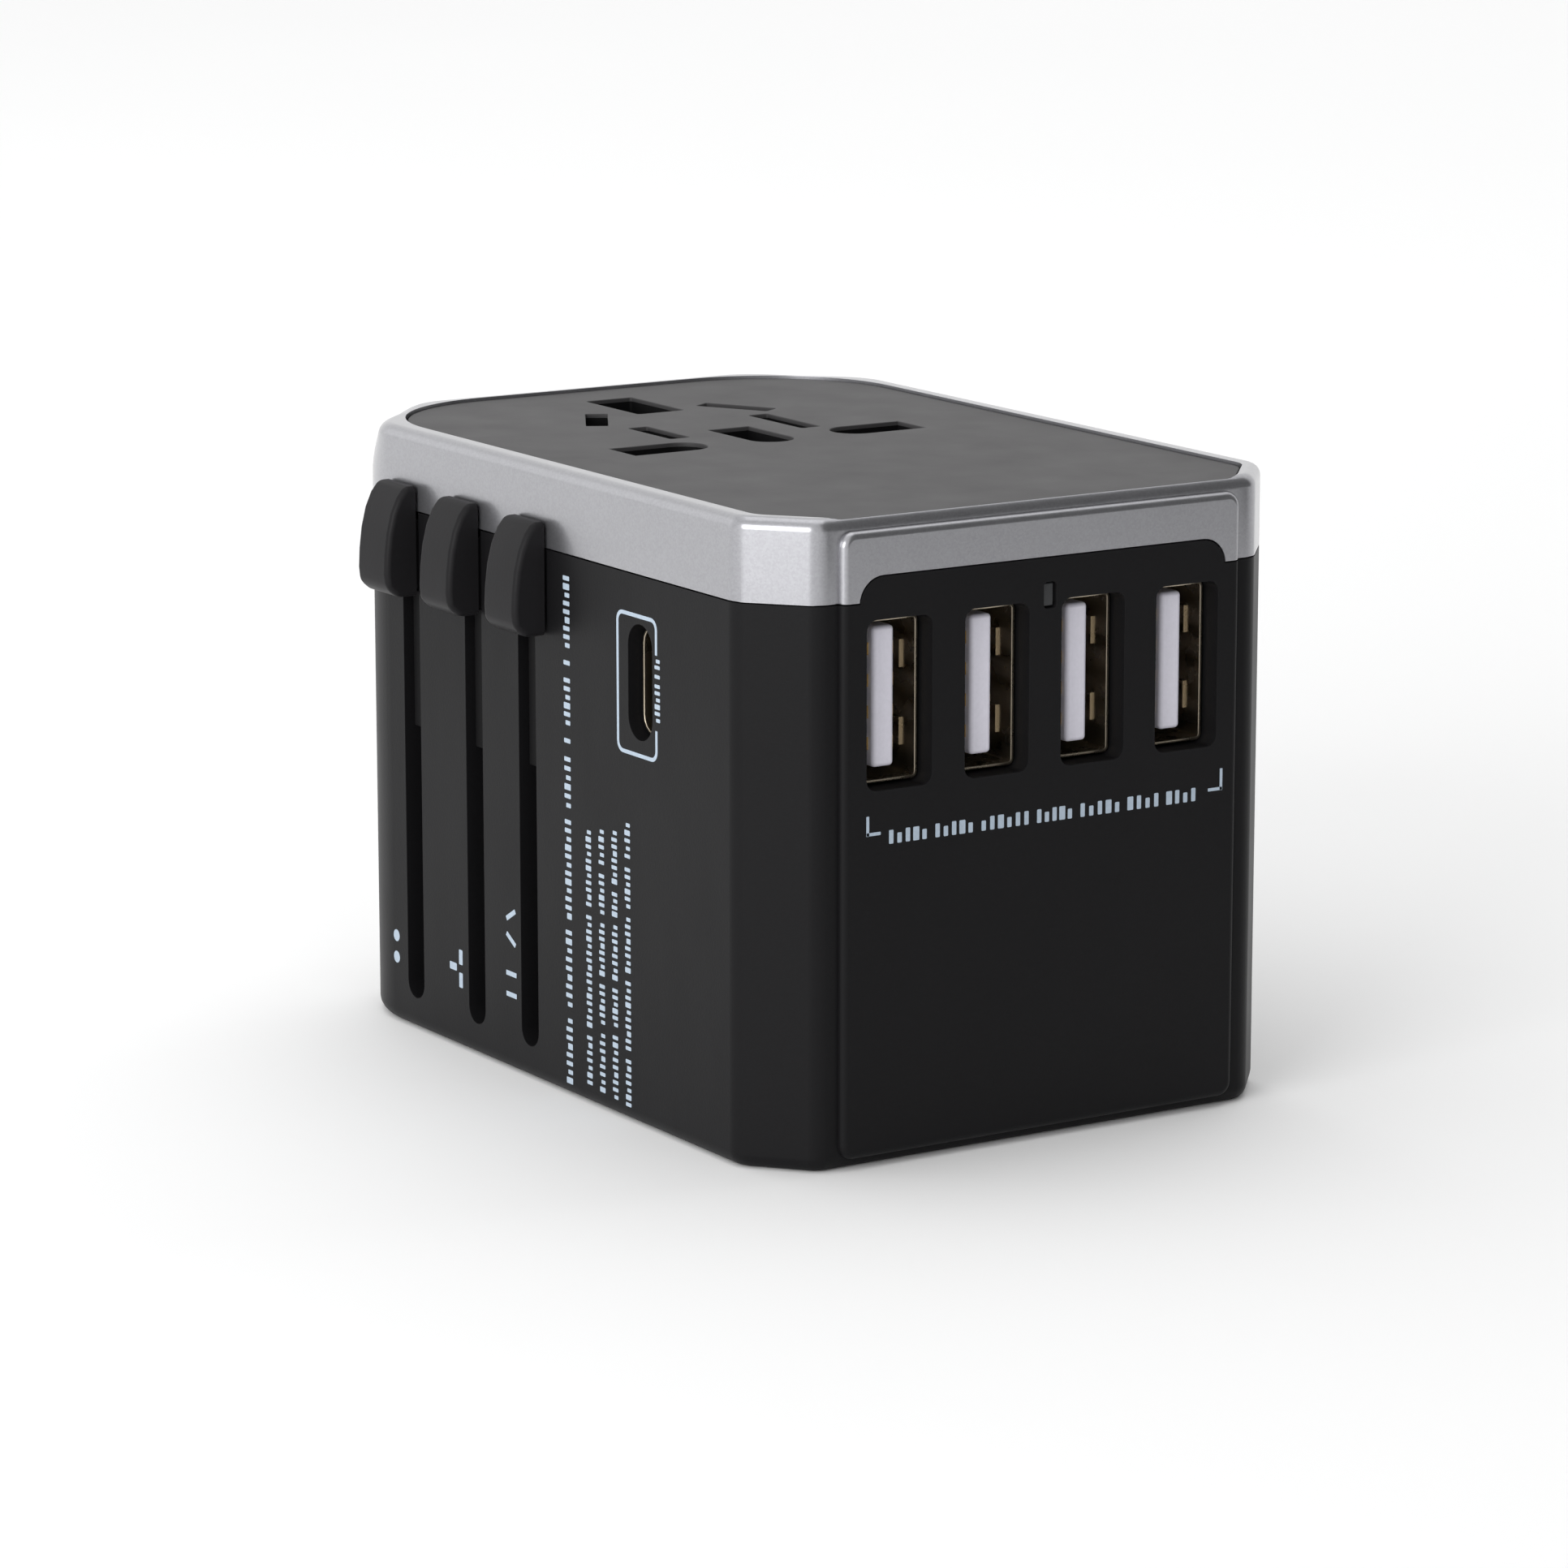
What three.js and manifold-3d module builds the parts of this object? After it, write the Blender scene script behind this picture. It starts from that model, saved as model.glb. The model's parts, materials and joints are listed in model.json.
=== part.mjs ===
// Universal travel adapter: a pocket block with a universal socket on top, three sliding plugs that come
// out of the base, four USB-A ports on one end and one USB-C port beside the sliders.
// Millimetres, +Z up. X runs along the body towards the USB-A end, -Y is the slider side, and the origin
// lies on the base face.
import * as THREE from "three";
import { mergeVertices } from "three/addons/utils/BufferGeometryUtils.js";
import Module from "manifold-3d";

const wasm = await Module();
wasm.setup();

// ---- Driving dimensions -------------------------------------------------------------------------------

// Body
const bodyLength = 71.5; // along X, without the raised USB panel
const bodyWidth = 50.5; // along Y, without the knobs
const bodyHeight = 52;
const wall = 1.8;
const seam = 0.1; // joint line between the sleeve and the bezel
const gap = 0.3; // between neighbouring pieces
const endCornerRadius = 10.9;
const cornerCutX = 5.1;
const cornerCutY = 4.45;
const baseEdgeRadius = 1.4;
const bezelHeight = 6.7;
const bezelEdgeRadius = 1;
const bezelLedge = 3; // how far the ledge under the socket plate stands in from the outside

// Raised USB panel on the +X end
const panelProud = 0.7;
const panelHalfWidth = 19;
const panelEdgeRadius = 0.6;
const panelCornerRadius = 1.2;
const panelBottom = 0.9;
const panelTopDrop = 1.1; // from the top of the body down to the panel's top edge
const riseHalfWidth = 17.4; // black part of the panel that stands up into the bezel
const riseHeight = 2.05;
const riseCornerRadius = 2.2;

// Socket plate and the standard socket layout, measured from the live-neutral line
const plateThickness = 2;
const plateRecess = 0.25;
const rimSide = 2.06;
const rimLeft = 1.5;
const rimRight = 0.6;
const rimCut = 1.6;
const plateGap = 0.2;
const plateCornerRadius = 11.6;
const coreY = -1; // centre line of the socket and of the plugs
const socketLineX = -3.1;
const mainsSlotWidth = 4.3;
const mainsSlotInner = 6.4;
const mainsSlotOuter = 14.3;
const earthSlot = { near: 17.4, far: 26.3, width: 4.6 };
const flatSlot = { offset: 7.5, spread: 6.25, width: 1.9, liveLength: 7, neutralLength: 8.5 };
const tiltedSlot = { offset: 16.5, spread: 7, width: 1.9, length: 6.9, tiltDegrees: 30 };
const centreSlot = { near: -2.1, far: 6.5, halfWidth: 2 };

// Shutter
const shutterThickness = 1.8;
const shutterDrop = 0.45; // below the socket plate
const shutterTravel = 5.6;
const shutterMargin = 0.6;
const shutterBridge = 2.4;

// Plugs: columns along X, and standard pin sizes
const travel = 23;
const euX = -21.45;
const ukX = -10.85;
const usX = -1.95;
const carriageThickness = 3.4;
const pinClearance = 0.15;
const euPin = { radius: 2, spread: 9.5, reach: 19 };
const ukBlade = { along: 4, across: 6.35, spread: 11.1, reach: 17.7 };
const ukEarth = { offset: 22.2, along: 8, across: 4, reach: 22.7 };
const usBlade = { along: 6.35, across: 1.5, spread: 6.6, reach: 17, discRadius: 3.35 };
const euHalf = 3.4;
const ukHalf = 3.3;
const usHalf = 3.9;
const ukSpineInner = 16.5;
const ukSpineOuter = 20.5;

// Sliders
const slotWidth = 2.8;
const slotBottom = 2.85;
const knobWidth = 5.2;
const knobHeight = 10;
const knobTopDrop = 4; // from the top of the body
const knobStand = 3.2;
const ribRecess = 0.7;
const ribLift = 1.2; // the rib starts this far above the carriage, clear of the slot's round end
const flangeWidth = 5;
const flangeThickness = 1.5;
const stemWidth = 2;

// Ports
const portPitch = 9.17;
const portCount = 4;
const portTopDrop = 14.9; // from the top of the body down to the centre of the USB-A mouths
const portOpening = { width: 6.1, height: 13.5, radius: 0.9 };
const shellSize = { width: 5.7, height: 13.1, radius: 0.5, sheet: 0.3, depth: 13.7, setback: 1.8 };
const tongueSize = { thickness: 2, height: 11.2, inset: 0.85, proud: 0.6, lift: 0.4 };
const typeCX = 16.1;
const typeCTopDrop = 15.4;
const typeCOpening = { width: 3.7, height: 9.4 };
const typeCShell = { width: 3.2, height: 8.94, sheet: 0.3, depth: 7.6, setback: 1.15 };
const typeCTongue = { width: 0.7, height: 6.7, setback: 0.8 };
const ledWindow = { y: 0.4, width: 1.2, height: 2.1, topDrop: 7.75 };

// Inside
const baseThickness = 2;
const postRadius = 2.8;
const postInset = { leftX: 6.1, leftY: 8.2, rightX: 8.4, rightY: 5.75 };
const screw = { shankRadius: 1, headRadius: 2.4, headHeight: 1, sink: 0.25, length: 11 };
const deckThickness = 1.6;
const deckTopDrop = 19; // from the top of the body
const partition = 0.9;
const coverThickness = 1.7;
const boardThickness = 1.6;
const contactSheet = 0.6;
const contactOut = 15.2; // distance of the contact bars from the core line

// ---- Places worked out from the dimensions -----------------------------------------------------------

const bodyLeft = -(bodyLength + panelProud) / 2;
const bodyRight = bodyLeft + bodyLength;
const panelFace = bodyRight + panelProud;
const halfWidth = bodyWidth / 2;
const sleeveTop = bodyHeight - bezelHeight - seam;
const bezelBottom = bodyHeight - bezelHeight;
const plateTop = bodyHeight - plateRecess;
const plateBottom = plateTop - plateThickness;
const shutterTop = plateBottom - shutterDrop;
const shutterBottom = shutterTop - shutterThickness;
const coverTop = shutterBottom - gap;
const coverBottom = coverTop - coverThickness;
const carriageBottom = baseThickness + gap + travel;
const carriageTop = carriageBottom + carriageThickness;
const deckTop = bodyHeight - deckTopDrop;
const deckBottom = deckTop - deckThickness;
const knobTop = bodyHeight - knobTopDrop;
const knobBottom = knobTop - knobHeight;
const portZ = bodyHeight - portTopDrop;
const typeCZ = bodyHeight - typeCTopDrop;
const wallFace = -halfWidth; // outer face of the slider side
const wallInside = wallFace + wall;
const shellBack = panelFace - shellSize.setback - shellSize.depth;
const boardFront = shellBack - gap;
const boardBack = boardFront - boardThickness;
const chassisRight = ukX + ukEarth.offset + ukEarth.along / 2 + 1.4;
const posts = [
  { x: bodyLeft + postInset.leftX, y: -halfWidth + postInset.leftY },
  { x: bodyLeft + postInset.leftX, y: halfWidth - postInset.leftY },
  { x: bodyRight - postInset.rightX, y: -halfWidth + postInset.rightY },
  { x: bodyRight - postInset.rightX, y: halfWidth - postInset.rightY },
];
const sliders = [
  { name: "eu", x: euX, knobShift: -1.05 },
  { name: "uk", x: ukX, knobShift: -1.05 },
  { name: "us", x: usX, knobShift: 0.95 },
];

// ---- Solids ------------------------------------------------------------------------------------------

function solidOf(geometry) {
  geometry.deleteAttribute("normal");
  geometry.deleteAttribute("uv");
  const merged = mergeVertices(geometry, 1e-4);
  return new wasm.Manifold(
    new wasm.Mesh({
      numProp: 3,
      vertProperties: merged.attributes.position.array,
      triVerts: new Uint32Array(merged.index.array),
    }),
  );
}

function geometryOf(solid) {
  const mesh = solid.getMesh();
  const geometry = new THREE.BufferGeometry();
  geometry.setAttribute("position", new THREE.BufferAttribute(mesh.vertProperties, 3));
  geometry.setIndex(new THREE.BufferAttribute(mesh.triVerts, 1));
  geometry.computeVertexNormals();
  return geometry;
}

function join(...solids) {
  return solids.reduce((sum, next) => sum.add(next));
}

function cut(solid, ...tools) {
  return tools.reduce((left, tool) => left.subtract(tool), solid);
}

function block(x0, x1, y0, y1, z0, z1) {
  const geometry = new THREE.BoxGeometry(x1 - x0, y1 - y0, z1 - z0);
  geometry.translate((x0 + x1) / 2, (y0 + y1) / 2, (z0 + z1) / 2);
  return solidOf(geometry);
}

function extruded(shape, depth, bevel = 0, segments = 3, arcSteps = 3) {
  return new THREE.ExtrudeGeometry(shape, {
    depth: depth - 2 * bevel,
    curveSegments: arcSteps,
    bevelEnabled: bevel > 0,
    bevelSize: bevel,
    bevelThickness: bevel,
    bevelOffset: -bevel,
    bevelSegments: segments,
  }).translate(0, 0, bevel);
}

// A plan shape in X and Y, from z0 up to z1.
function prism(shape, z0, z1, bevel = 0, segments = 3, arcSteps = 4) {
  return solidOf(extruded(shape, z1 - z0, bevel, segments, arcSteps).translate(0, 0, z0));
}

// A plan outline of the whole body, whose round corners take more steps.
function bodyPrism(shape, z0, z1, bevel = 0) {
  return prism(shape, z0, z1, bevel, 3, 8);
}

// An end shape in Y and Z, from x0 to x1.
function prismAlongX(shape, x0, x1, bevel = 0) {
  const turn = new THREE.Matrix4().makeBasis(
    new THREE.Vector3(0, 1, 0),
    new THREE.Vector3(0, 0, 1),
    new THREE.Vector3(1, 0, 0),
  );
  return solidOf(extruded(shape, x1 - x0, bevel).applyMatrix4(turn).translate(x0, 0, 0));
}

// A side shape in X and Z, from y0 to y1.
function prismAlongY(shape, y0, y1, bevel = 0) {
  const turn = new THREE.Matrix4().makeBasis(
    new THREE.Vector3(1, 0, 0),
    new THREE.Vector3(0, 0, 1),
    new THREE.Vector3(0, -1, 0),
  );
  return solidOf(extruded(shape, y1 - y0, bevel).applyMatrix4(turn).translate(0, y1, 0));
}

function roundedRectangle(x0, x1, y0, y1, radius) {
  const shape = new THREE.Shape();
  shape.moveTo(x0 + radius, y0);
  shape.lineTo(x1 - radius, y0);
  shape.absarc(x1 - radius, y0 + radius, radius, -Math.PI / 2, 0);
  shape.lineTo(x1, y1 - radius);
  shape.absarc(x1 - radius, y1 - radius, radius, 0, Math.PI / 2);
  shape.lineTo(x0 + radius, y1);
  shape.absarc(x0 + radius, y1 - radius, radius, Math.PI / 2, Math.PI);
  shape.lineTo(x0, y0 + radius);
  shape.absarc(x0 + radius, y0 + radius, radius, Math.PI, 1.5 * Math.PI);
  shape.closePath();
  return shape;
}

function rod(x, y, radius, z0, z1, segments = 20) {
  const geometry = new THREE.CylinderGeometry(radius, radius, z1 - z0, segments);
  geometry.rotateX(Math.PI / 2).translate(x, y, (z0 + z1) / 2);
  return solidOf(geometry);
}

// Turned piece: a profile of [radius, z] pairs that starts and ends on its axis.
function turned(profile, x, y, segments = 20) {
  const points = profile.map(([radius, z]) => new THREE.Vector2(radius, z));
  const geometry = new THREE.LatheGeometry(points, segments);
  return solidOf(geometry.rotateX(Math.PI / 2).translate(x, y, 0));
}

// ---- Plan outline of the body ------------------------------------------------------------------------

// Two round corners at the -X end and two straight cuts at the +X end, moved in by the given insets.
function planOutline({ left = 0, right = 0, side = 0, cornerCut = 0, radius = endCornerRadius - (left + side) / 2 }) {
  const x0 = bodyLeft + left;
  const x1 = bodyRight - right;
  const y1 = halfWidth - side;
  const length = Math.hypot(cornerCutX, cornerCutY);
  const nx = cornerCutY / length;
  const ny = cornerCutX / length;
  const reach = nx * (bodyRight - cornerCutX) + ny * halfWidth - cornerCut;
  const cutX = (reach - ny * y1) / nx;
  const cutY = (reach - nx * x1) / ny;
  const shape = new THREE.Shape();
  shape.moveTo(cutX, -y1);
  shape.lineTo(x1, -cutY);
  shape.lineTo(x1, cutY);
  shape.lineTo(cutX, y1);
  shape.lineTo(x0 + radius, y1);
  shape.absarc(x0 + radius, y1 - radius, radius, Math.PI / 2, Math.PI);
  shape.lineTo(x0, -y1 + radius);
  shape.absarc(x0 + radius, -y1 + radius, radius, Math.PI, 1.5 * Math.PI);
  shape.closePath();
  return shape;
}

function evenInset(distance) {
  return planOutline({ left: distance, right: distance, side: distance, cornerCut: distance });
}

// The raised panel on the +X end, whole; the sleeve and the bezel each take their share of it.
function raisedPanel() {
  const shape = roundedRectangle(
    -panelHalfWidth,
    panelHalfWidth,
    panelBottom,
    bodyHeight - panelTopDrop,
    panelCornerRadius,
  );
  return prismAlongX(shape, bodyRight - wall, panelFace, panelEdgeRadius).intersect(
    block(bodyRight - wall / 2, panelFace, -halfWidth, halfWidth, 0, bodyHeight),
  );
}

// The step in the joint line where the black panel stands up into the bezel.
function panelRise(grow) {
  const shape = roundedRectangle(
    -riseHalfWidth - grow,
    riseHalfWidth + grow,
    sleeveTop - 2 * riseCornerRadius,
    sleeveTop + riseHeight + grow,
    riseCornerRadius,
  );
  return prismAlongX(shape, bodyRight - wall - grow, panelFace + 1);
}

// ---- Sleeve: walls, slider slots, port windows and two screw posts ------------------------------------

function sliderSlot(x) {
  const radius = slotWidth / 2;
  const shape = new THREE.Shape();
  shape.moveTo(x + radius, sleeveTop + 1);
  shape.lineTo(x - radius, sleeveTop + 1);
  shape.lineTo(x - radius, slotBottom + radius);
  shape.absarc(x, slotBottom + radius, radius, Math.PI, 2 * Math.PI);
  shape.closePath();
  return prismAlongY(shape, wallFace - 1, wallInside + 1);
}

function portCentres() {
  const first = (-(portCount - 1) * portPitch) / 2;
  return Array.from({ length: portCount }, (_, i) => first + i * portPitch);
}

function portWindow(y) {
  const { width, height, radius } = portOpening;
  const shape = roundedRectangle(
    y - width / 2,
    y + width / 2,
    portZ - height / 2,
    portZ + height / 2,
    radius,
  );
  return prismAlongX(shape, bodyRight - wall - 1, panelFace + 1);
}

function typeCWindow() {
  const { width, height } = typeCOpening;
  const shape = roundedRectangle(
    typeCX - width / 2,
    typeCX + width / 2,
    typeCZ - height / 2,
    typeCZ + height / 2,
    width / 2 - 0.05,
  );
  return prismAlongY(shape, wallFace - 1, wallInside + 1);
}

function ledHole() {
  const z = bodyHeight - ledWindow.topDrop;
  const y0 = ledWindow.y - ledWindow.width / 2;
  const y1 = ledWindow.y + ledWindow.width / 2;
  return block(bodyRight - wall - 1, panelFace + 1, y0, y1, z - ledWindow.height / 2, z + ledWindow.height / 2);
}

function sleevePost({ x, y }) {
  const bottom = baseThickness + gap;
  const top = bottom + screw.length + 3;
  const edge = Math.sign(y) * (halfWidth - wall / 2);
  const rib = block(x - 0.8, x + 0.8, Math.min(y, edge), Math.max(y, edge), bottom, top);
  return join(rod(x, y, postRadius, bottom, top), rib);
}

function pilotHole({ x, y }) {
  return rod(x, y, screw.shankRadius + pinClearance, 0, baseThickness + gap + screw.length, 16);
}

function sleeve() {
  const outside = bodyPrism(evenInset(0), 0, bodyHeight + 10, baseEdgeRadius);
  const low = block(-100, 100, -100, 100, -1, sleeveTop);
  const black = join(low, panelRise(0));
  const walls = join(outside, raisedPanel()).intersect(black);
  const hollow = bodyPrism(evenInset(wall), -1, bodyHeight + 1);
  return cut(
    join(cut(walls, hollow), ...posts.slice(2).map(sleevePost)),
    ...posts.slice(2).map(pilotHole),
    ...sliders.map(({ x }) => sliderSlot(x)),
    ...portCentres().map(portWindow),
    typeCWindow(),
    ledHole(),
  );
}

// ---- Bezel, socket plate and base plate --------------------------------------------------------------

function bezel() {
  const outside = bodyPrism(evenInset(0), bezelBottom - 10, bodyHeight, bezelEdgeRadius);
  const high = block(-100, 100, -100, 100, bezelBottom, bodyHeight);
  const ring = join(outside, raisedPanel()).intersect(high);
  const lip = cut(
    bodyPrism(evenInset(wall + gap), bezelBottom - 2, bezelBottom + 0.5),
    block(bodyLeft + 12, bodyRight + 1, -halfWidth, halfWidth - 6, 0, bodyHeight),
    block(bodyRight - 16, bodyRight + 1, -halfWidth, halfWidth, 0, bodyHeight),
  );
  const mouth = bodyPrism(plateOutline(-plateGap), plateBottom - gap, bodyHeight + 1);
  const throat = bodyPrism(evenInset(bezelLedge), bezelBottom - 3, bodyHeight + 1);
  return cut(join(ring, lip), mouth, throat, panelRise(seam));
}

function plateOutline(inset) {
  return planOutline({
    left: rimLeft + inset,
    right: rimRight + inset,
    side: rimSide + inset,
    cornerCut: rimCut + inset,
    radius: plateCornerRadius - inset,
  });
}

// A live or neutral slot, round at its inner end. side is -1 or 1.
function mainsSlot(side, grow) {
  const radius = mainsSlotWidth / 2 + grow;
  const inner = coreY + side * (mainsSlotInner + mainsSlotWidth / 2);
  const outer = coreY + side * (mainsSlotOuter + grow);
  const shape = new THREE.Shape();
  if (side > 0) {
    shape.moveTo(socketLineX + radius, outer);
    shape.lineTo(socketLineX - radius, outer);
    shape.absarc(socketLineX, inner, radius, Math.PI, 2 * Math.PI);
  } else {
    shape.moveTo(socketLineX - radius, outer);
    shape.lineTo(socketLineX + radius, outer);
    shape.absarc(socketLineX, inner, radius, 0, Math.PI);
  }
  shape.closePath();
  return shape;
}

function bar(x, y, length, width, tiltDegrees = 0) {
  const corners = [
    [-length / 2, -width / 2],
    [length / 2, -width / 2],
    [length / 2, width / 2],
    [-length / 2, width / 2],
  ];
  const centre = new THREE.Vector2();
  const turn = THREE.MathUtils.degToRad(tiltDegrees);
  const points = corners.map(([u, v]) => new THREE.Vector2(u, v).rotateAround(centre, turn));
  return new THREE.Shape(points.map((point) => point.add(new THREE.Vector2(x, y))));
}

function centreSlotShape(grow) {
  const radius = centreSlot.halfWidth + grow;
  const x0 = socketLineX - centreSlot.far - grow;
  const x1 = socketLineX - centreSlot.near - centreSlot.halfWidth;
  const shape = new THREE.Shape();
  shape.moveTo(x0, coreY + radius);
  shape.lineTo(x0, coreY - radius);
  shape.absarc(x1, coreY, radius, -Math.PI / 2, Math.PI / 2);
  shape.closePath();
  return shape;
}

// Every opening of the universal socket, as plan shapes.
function socketShapes(grow) {
  const earthMiddle = socketLineX - (earthSlot.near + earthSlot.far) / 2;
  const earthLength = earthSlot.far - earthSlot.near + 2 * grow;
  const flatX = socketLineX - flatSlot.offset;
  const tiltedX = socketLineX - tiltedSlot.offset;
  const shapes = [bar(earthMiddle, coreY, earthLength, earthSlot.width + 2 * grow), centreSlotShape(grow)];
  for (const side of [-1, 1]) {
    const flatLength = side < 0 ? flatSlot.liveLength : flatSlot.neutralLength;
    const flatY = coreY + side * flatSlot.spread;
    const tiltedY = coreY + side * tiltedSlot.spread;
    const tilt = side * tiltedSlot.tiltDegrees;
    shapes.push(mainsSlot(side, grow));
    shapes.push(bar(flatX, flatY, flatLength + 2 * grow, flatSlot.width + 2 * grow));
    shapes.push(bar(tiltedX, tiltedY, tiltedSlot.length + 2 * grow, tiltedSlot.width + 2 * grow, tilt));
  }
  return shapes;
}

function socketPlate() {
  const holes = socketShapes(0).map((shape) => prism(shape, plateBottom - 1, plateTop + 1));
  return cut(bodyPrism(plateOutline(0), plateBottom, plateTop), ...holes);
}

function screwSeat({ x, y }) {
  const seat = rod(x, y, screw.headRadius + gap, -1, screw.sink + screw.headHeight + 0.1);
  return join(seat, rod(x, y, screw.shankRadius + gap, -1, baseThickness + 1, 16));
}

function basePlate() {
  const clear = gap + pinClearance;
  const holes = [];
  for (const side of [-1, 1]) {
    const ukY = coreY + side * ukBlade.spread;
    holes.push(rod(euX, coreY + side * euPin.spread, euPin.radius + clear, -1, baseThickness + 1));
    holes.push(prism(bar(ukX, ukY, ukBlade.along + 2 * clear, ukBlade.across + 2 * clear), -1, 5));
    holes.push(rod(usX, coreY + side * usBlade.spread, usBlade.discRadius + gap, -1, baseThickness + 1, 28));
  }
  const earth = bar(ukX + ukEarth.offset, coreY, ukEarth.along + 2 * clear, ukEarth.across + 2 * clear);
  holes.push(prism(earth, -1, baseThickness + 1));
  return cut(bodyPrism(evenInset(wall + gap), 0, baseThickness), ...holes, ...posts.map(screwSeat));
}

function leftOf(x) {
  return block(bodyLeft - 10, x, -bodyWidth, bodyWidth, -10, bodyHeight + 10);
}

// ---- Contact cover, shutter and its spring -----------------------------------------------------------

const springAnchor = { x: socketLineX - 10.7, y: coreY - 3.9, radius: 0.8 };

function contactCover() {
  const holes = socketShapes(gap).map((shape) => prism(shape, coverBottom - 1, coverTop + 1));
  const anchorHole = rod(springAnchor.x, springAnchor.y, springAnchor.radius + gap, coverBottom - 1, coverTop + 1);
  const plate = bodyPrism(evenInset(bezelLedge + gap), coverBottom, coverTop);
  return cut(plate.intersect(leftOf(chassisRight)), ...holes, anchorHole);
}

// Two pads under the live and neutral slots, joined by a bridge on their +X side.
function shutter() {
  const padLeft = socketLineX - mainsSlotWidth / 2 - shutterMargin;
  const padRight = socketLineX + mainsSlotWidth / 2 + 2 * shutterMargin;
  const inner = mainsSlotInner - shutterMargin;
  const outer = mainsSlotOuter + shutterMargin;
  const bridge = block(
    padRight - 0.5,
    padRight + shutterBridge,
    coreY - outer,
    coreY + outer,
    shutterBottom,
    shutterTop,
  );
  const pads = [-1, 1].map((side) => {
    const y0 = Math.min(side * inner, side * outer) + coreY;
    const y1 = Math.max(side * inner, side * outer) + coreY;
    return block(padLeft, padRight, y0, y1, shutterBottom, shutterTop);
  });
  const hook = block(padLeft, padRight - 0.5, coreY - inner - 0.5, springAnchor.y + 0.6, shutterBottom, shutterTop - 0.9);
  return join(bridge, ...pads, hook);
}

// Extension spring from the anchor post to the shutter's hook.
class SpringPath extends THREE.Curve {
  constructor(start, length, radius, turns) {
    super();
    Object.assign(this, { start, length, radius, turns });
  }

  getPoint(t, target = new THREE.Vector3()) {
    const angle = 2 * Math.PI * this.turns * t;
    return target.set(
      this.start.x + this.length * t,
      this.start.y + this.radius * Math.cos(angle),
      this.start.z + this.radius * Math.sin(angle),
    );
  }
}

function shutterSpring() {
  const wire = 0.18;
  const coilRadius = 0.65;
  const x0 = springAnchor.x + springAnchor.radius + gap + wire;
  const x1 = socketLineX - mainsSlotWidth / 2 - shutterMargin - gap - wire;
  const start = new THREE.Vector3(x0, springAnchor.y, (shutterTop + shutterBottom) / 2);
  const section = new THREE.Shape().absarc(0, 0, wire, 0, 2 * Math.PI);
  const path = new SpringPath(start, x1 - x0, coilRadius, 6);
  const options = { steps: 54, curveSegments: 3, bevelEnabled: false, extrudePath: path };
  return solidOf(new THREE.ExtrudeGeometry(section, options));
}

// ---- Chassis: deck, partitions between the plug columns, two screw posts ------------------------------

function chassis() {
  const deck = bodyPrism(evenInset(wall + gap), deckBottom, deckTop).intersect(leftOf(chassisRight));
  const wallBottom = baseThickness + gap;
  const wallY0 = wallInside + gap + flangeThickness + 2 * gap;
  const wallY1 = coreY + ukSpineInner - 2 * gap;
  const walls = [
    (euX + euHalf + ukX - ukHalf) / 2 - partition / 2 - 0.35,
    (ukX + ukHalf + usX - usHalf) / 2,
    usX + usHalf + 2.1,
  ].map((x) => block(x - partition / 2, x + partition / 2, wallY0, wallY1, wallBottom, deckTop));
  const columns = posts.slice(0, 2).map(({ x, y }) => rod(x, y, postRadius, wallBottom, deckTop));
  const anchor = rod(springAnchor.x, springAnchor.y, springAnchor.radius, deckBottom, shutterTop, 12);
  const typeCNotch = block(typeCX - 5.5, chassisRight + 1, -halfWidth, -halfWidth + 12, 0, bodyHeight);
  const earthWell = prism(socketShapes(gap)[0], deckBottom - 1, deckTop + 1);
  const legSlots = contactLegs(gap);
  const flangeNotches = sliders.map(({ x }) =>
    block(
      x - flangeWidth / 2 - gap,
      x + flangeWidth / 2 + gap,
      wallFace,
      wallInside + gap + flangeThickness + gap,
      deckBottom - 1,
      deckTop + 1,
    ),
  );
  const frame = cut(join(deck, ...walls, ...columns), typeCNotch, earthWell, ...legSlots, ...flangeNotches);
  return cut(join(frame, anchor), ...posts.slice(0, 2).map(pilotHole));
}

// ---- Live and neutral contacts -----------------------------------------------------------------------

const legX = [(euX + euHalf + ukX - ukHalf) / 2 + 0.85, usX + usHalf + 0.85];
const legInner = 9;

function contactLeg(side, x, grow) {
  const inner = coreY + side * (legInner - grow);
  const outer = coreY + side * (contactOut + contactSheet + grow);
  const x0 = x - contactSheet / 2 - grow;
  const x1 = x + contactSheet / 2 + grow;
  const z0 = baseThickness + 2 - grow;
  return block(x0, x1, Math.min(inner, outer), Math.max(inner, outer), z0, deckTop + 3);
}

function contactLegs(grow) {
  return [-1, 1].flatMap((side) => legX.map((x) => contactLeg(side, x, grow)));
}

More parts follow.
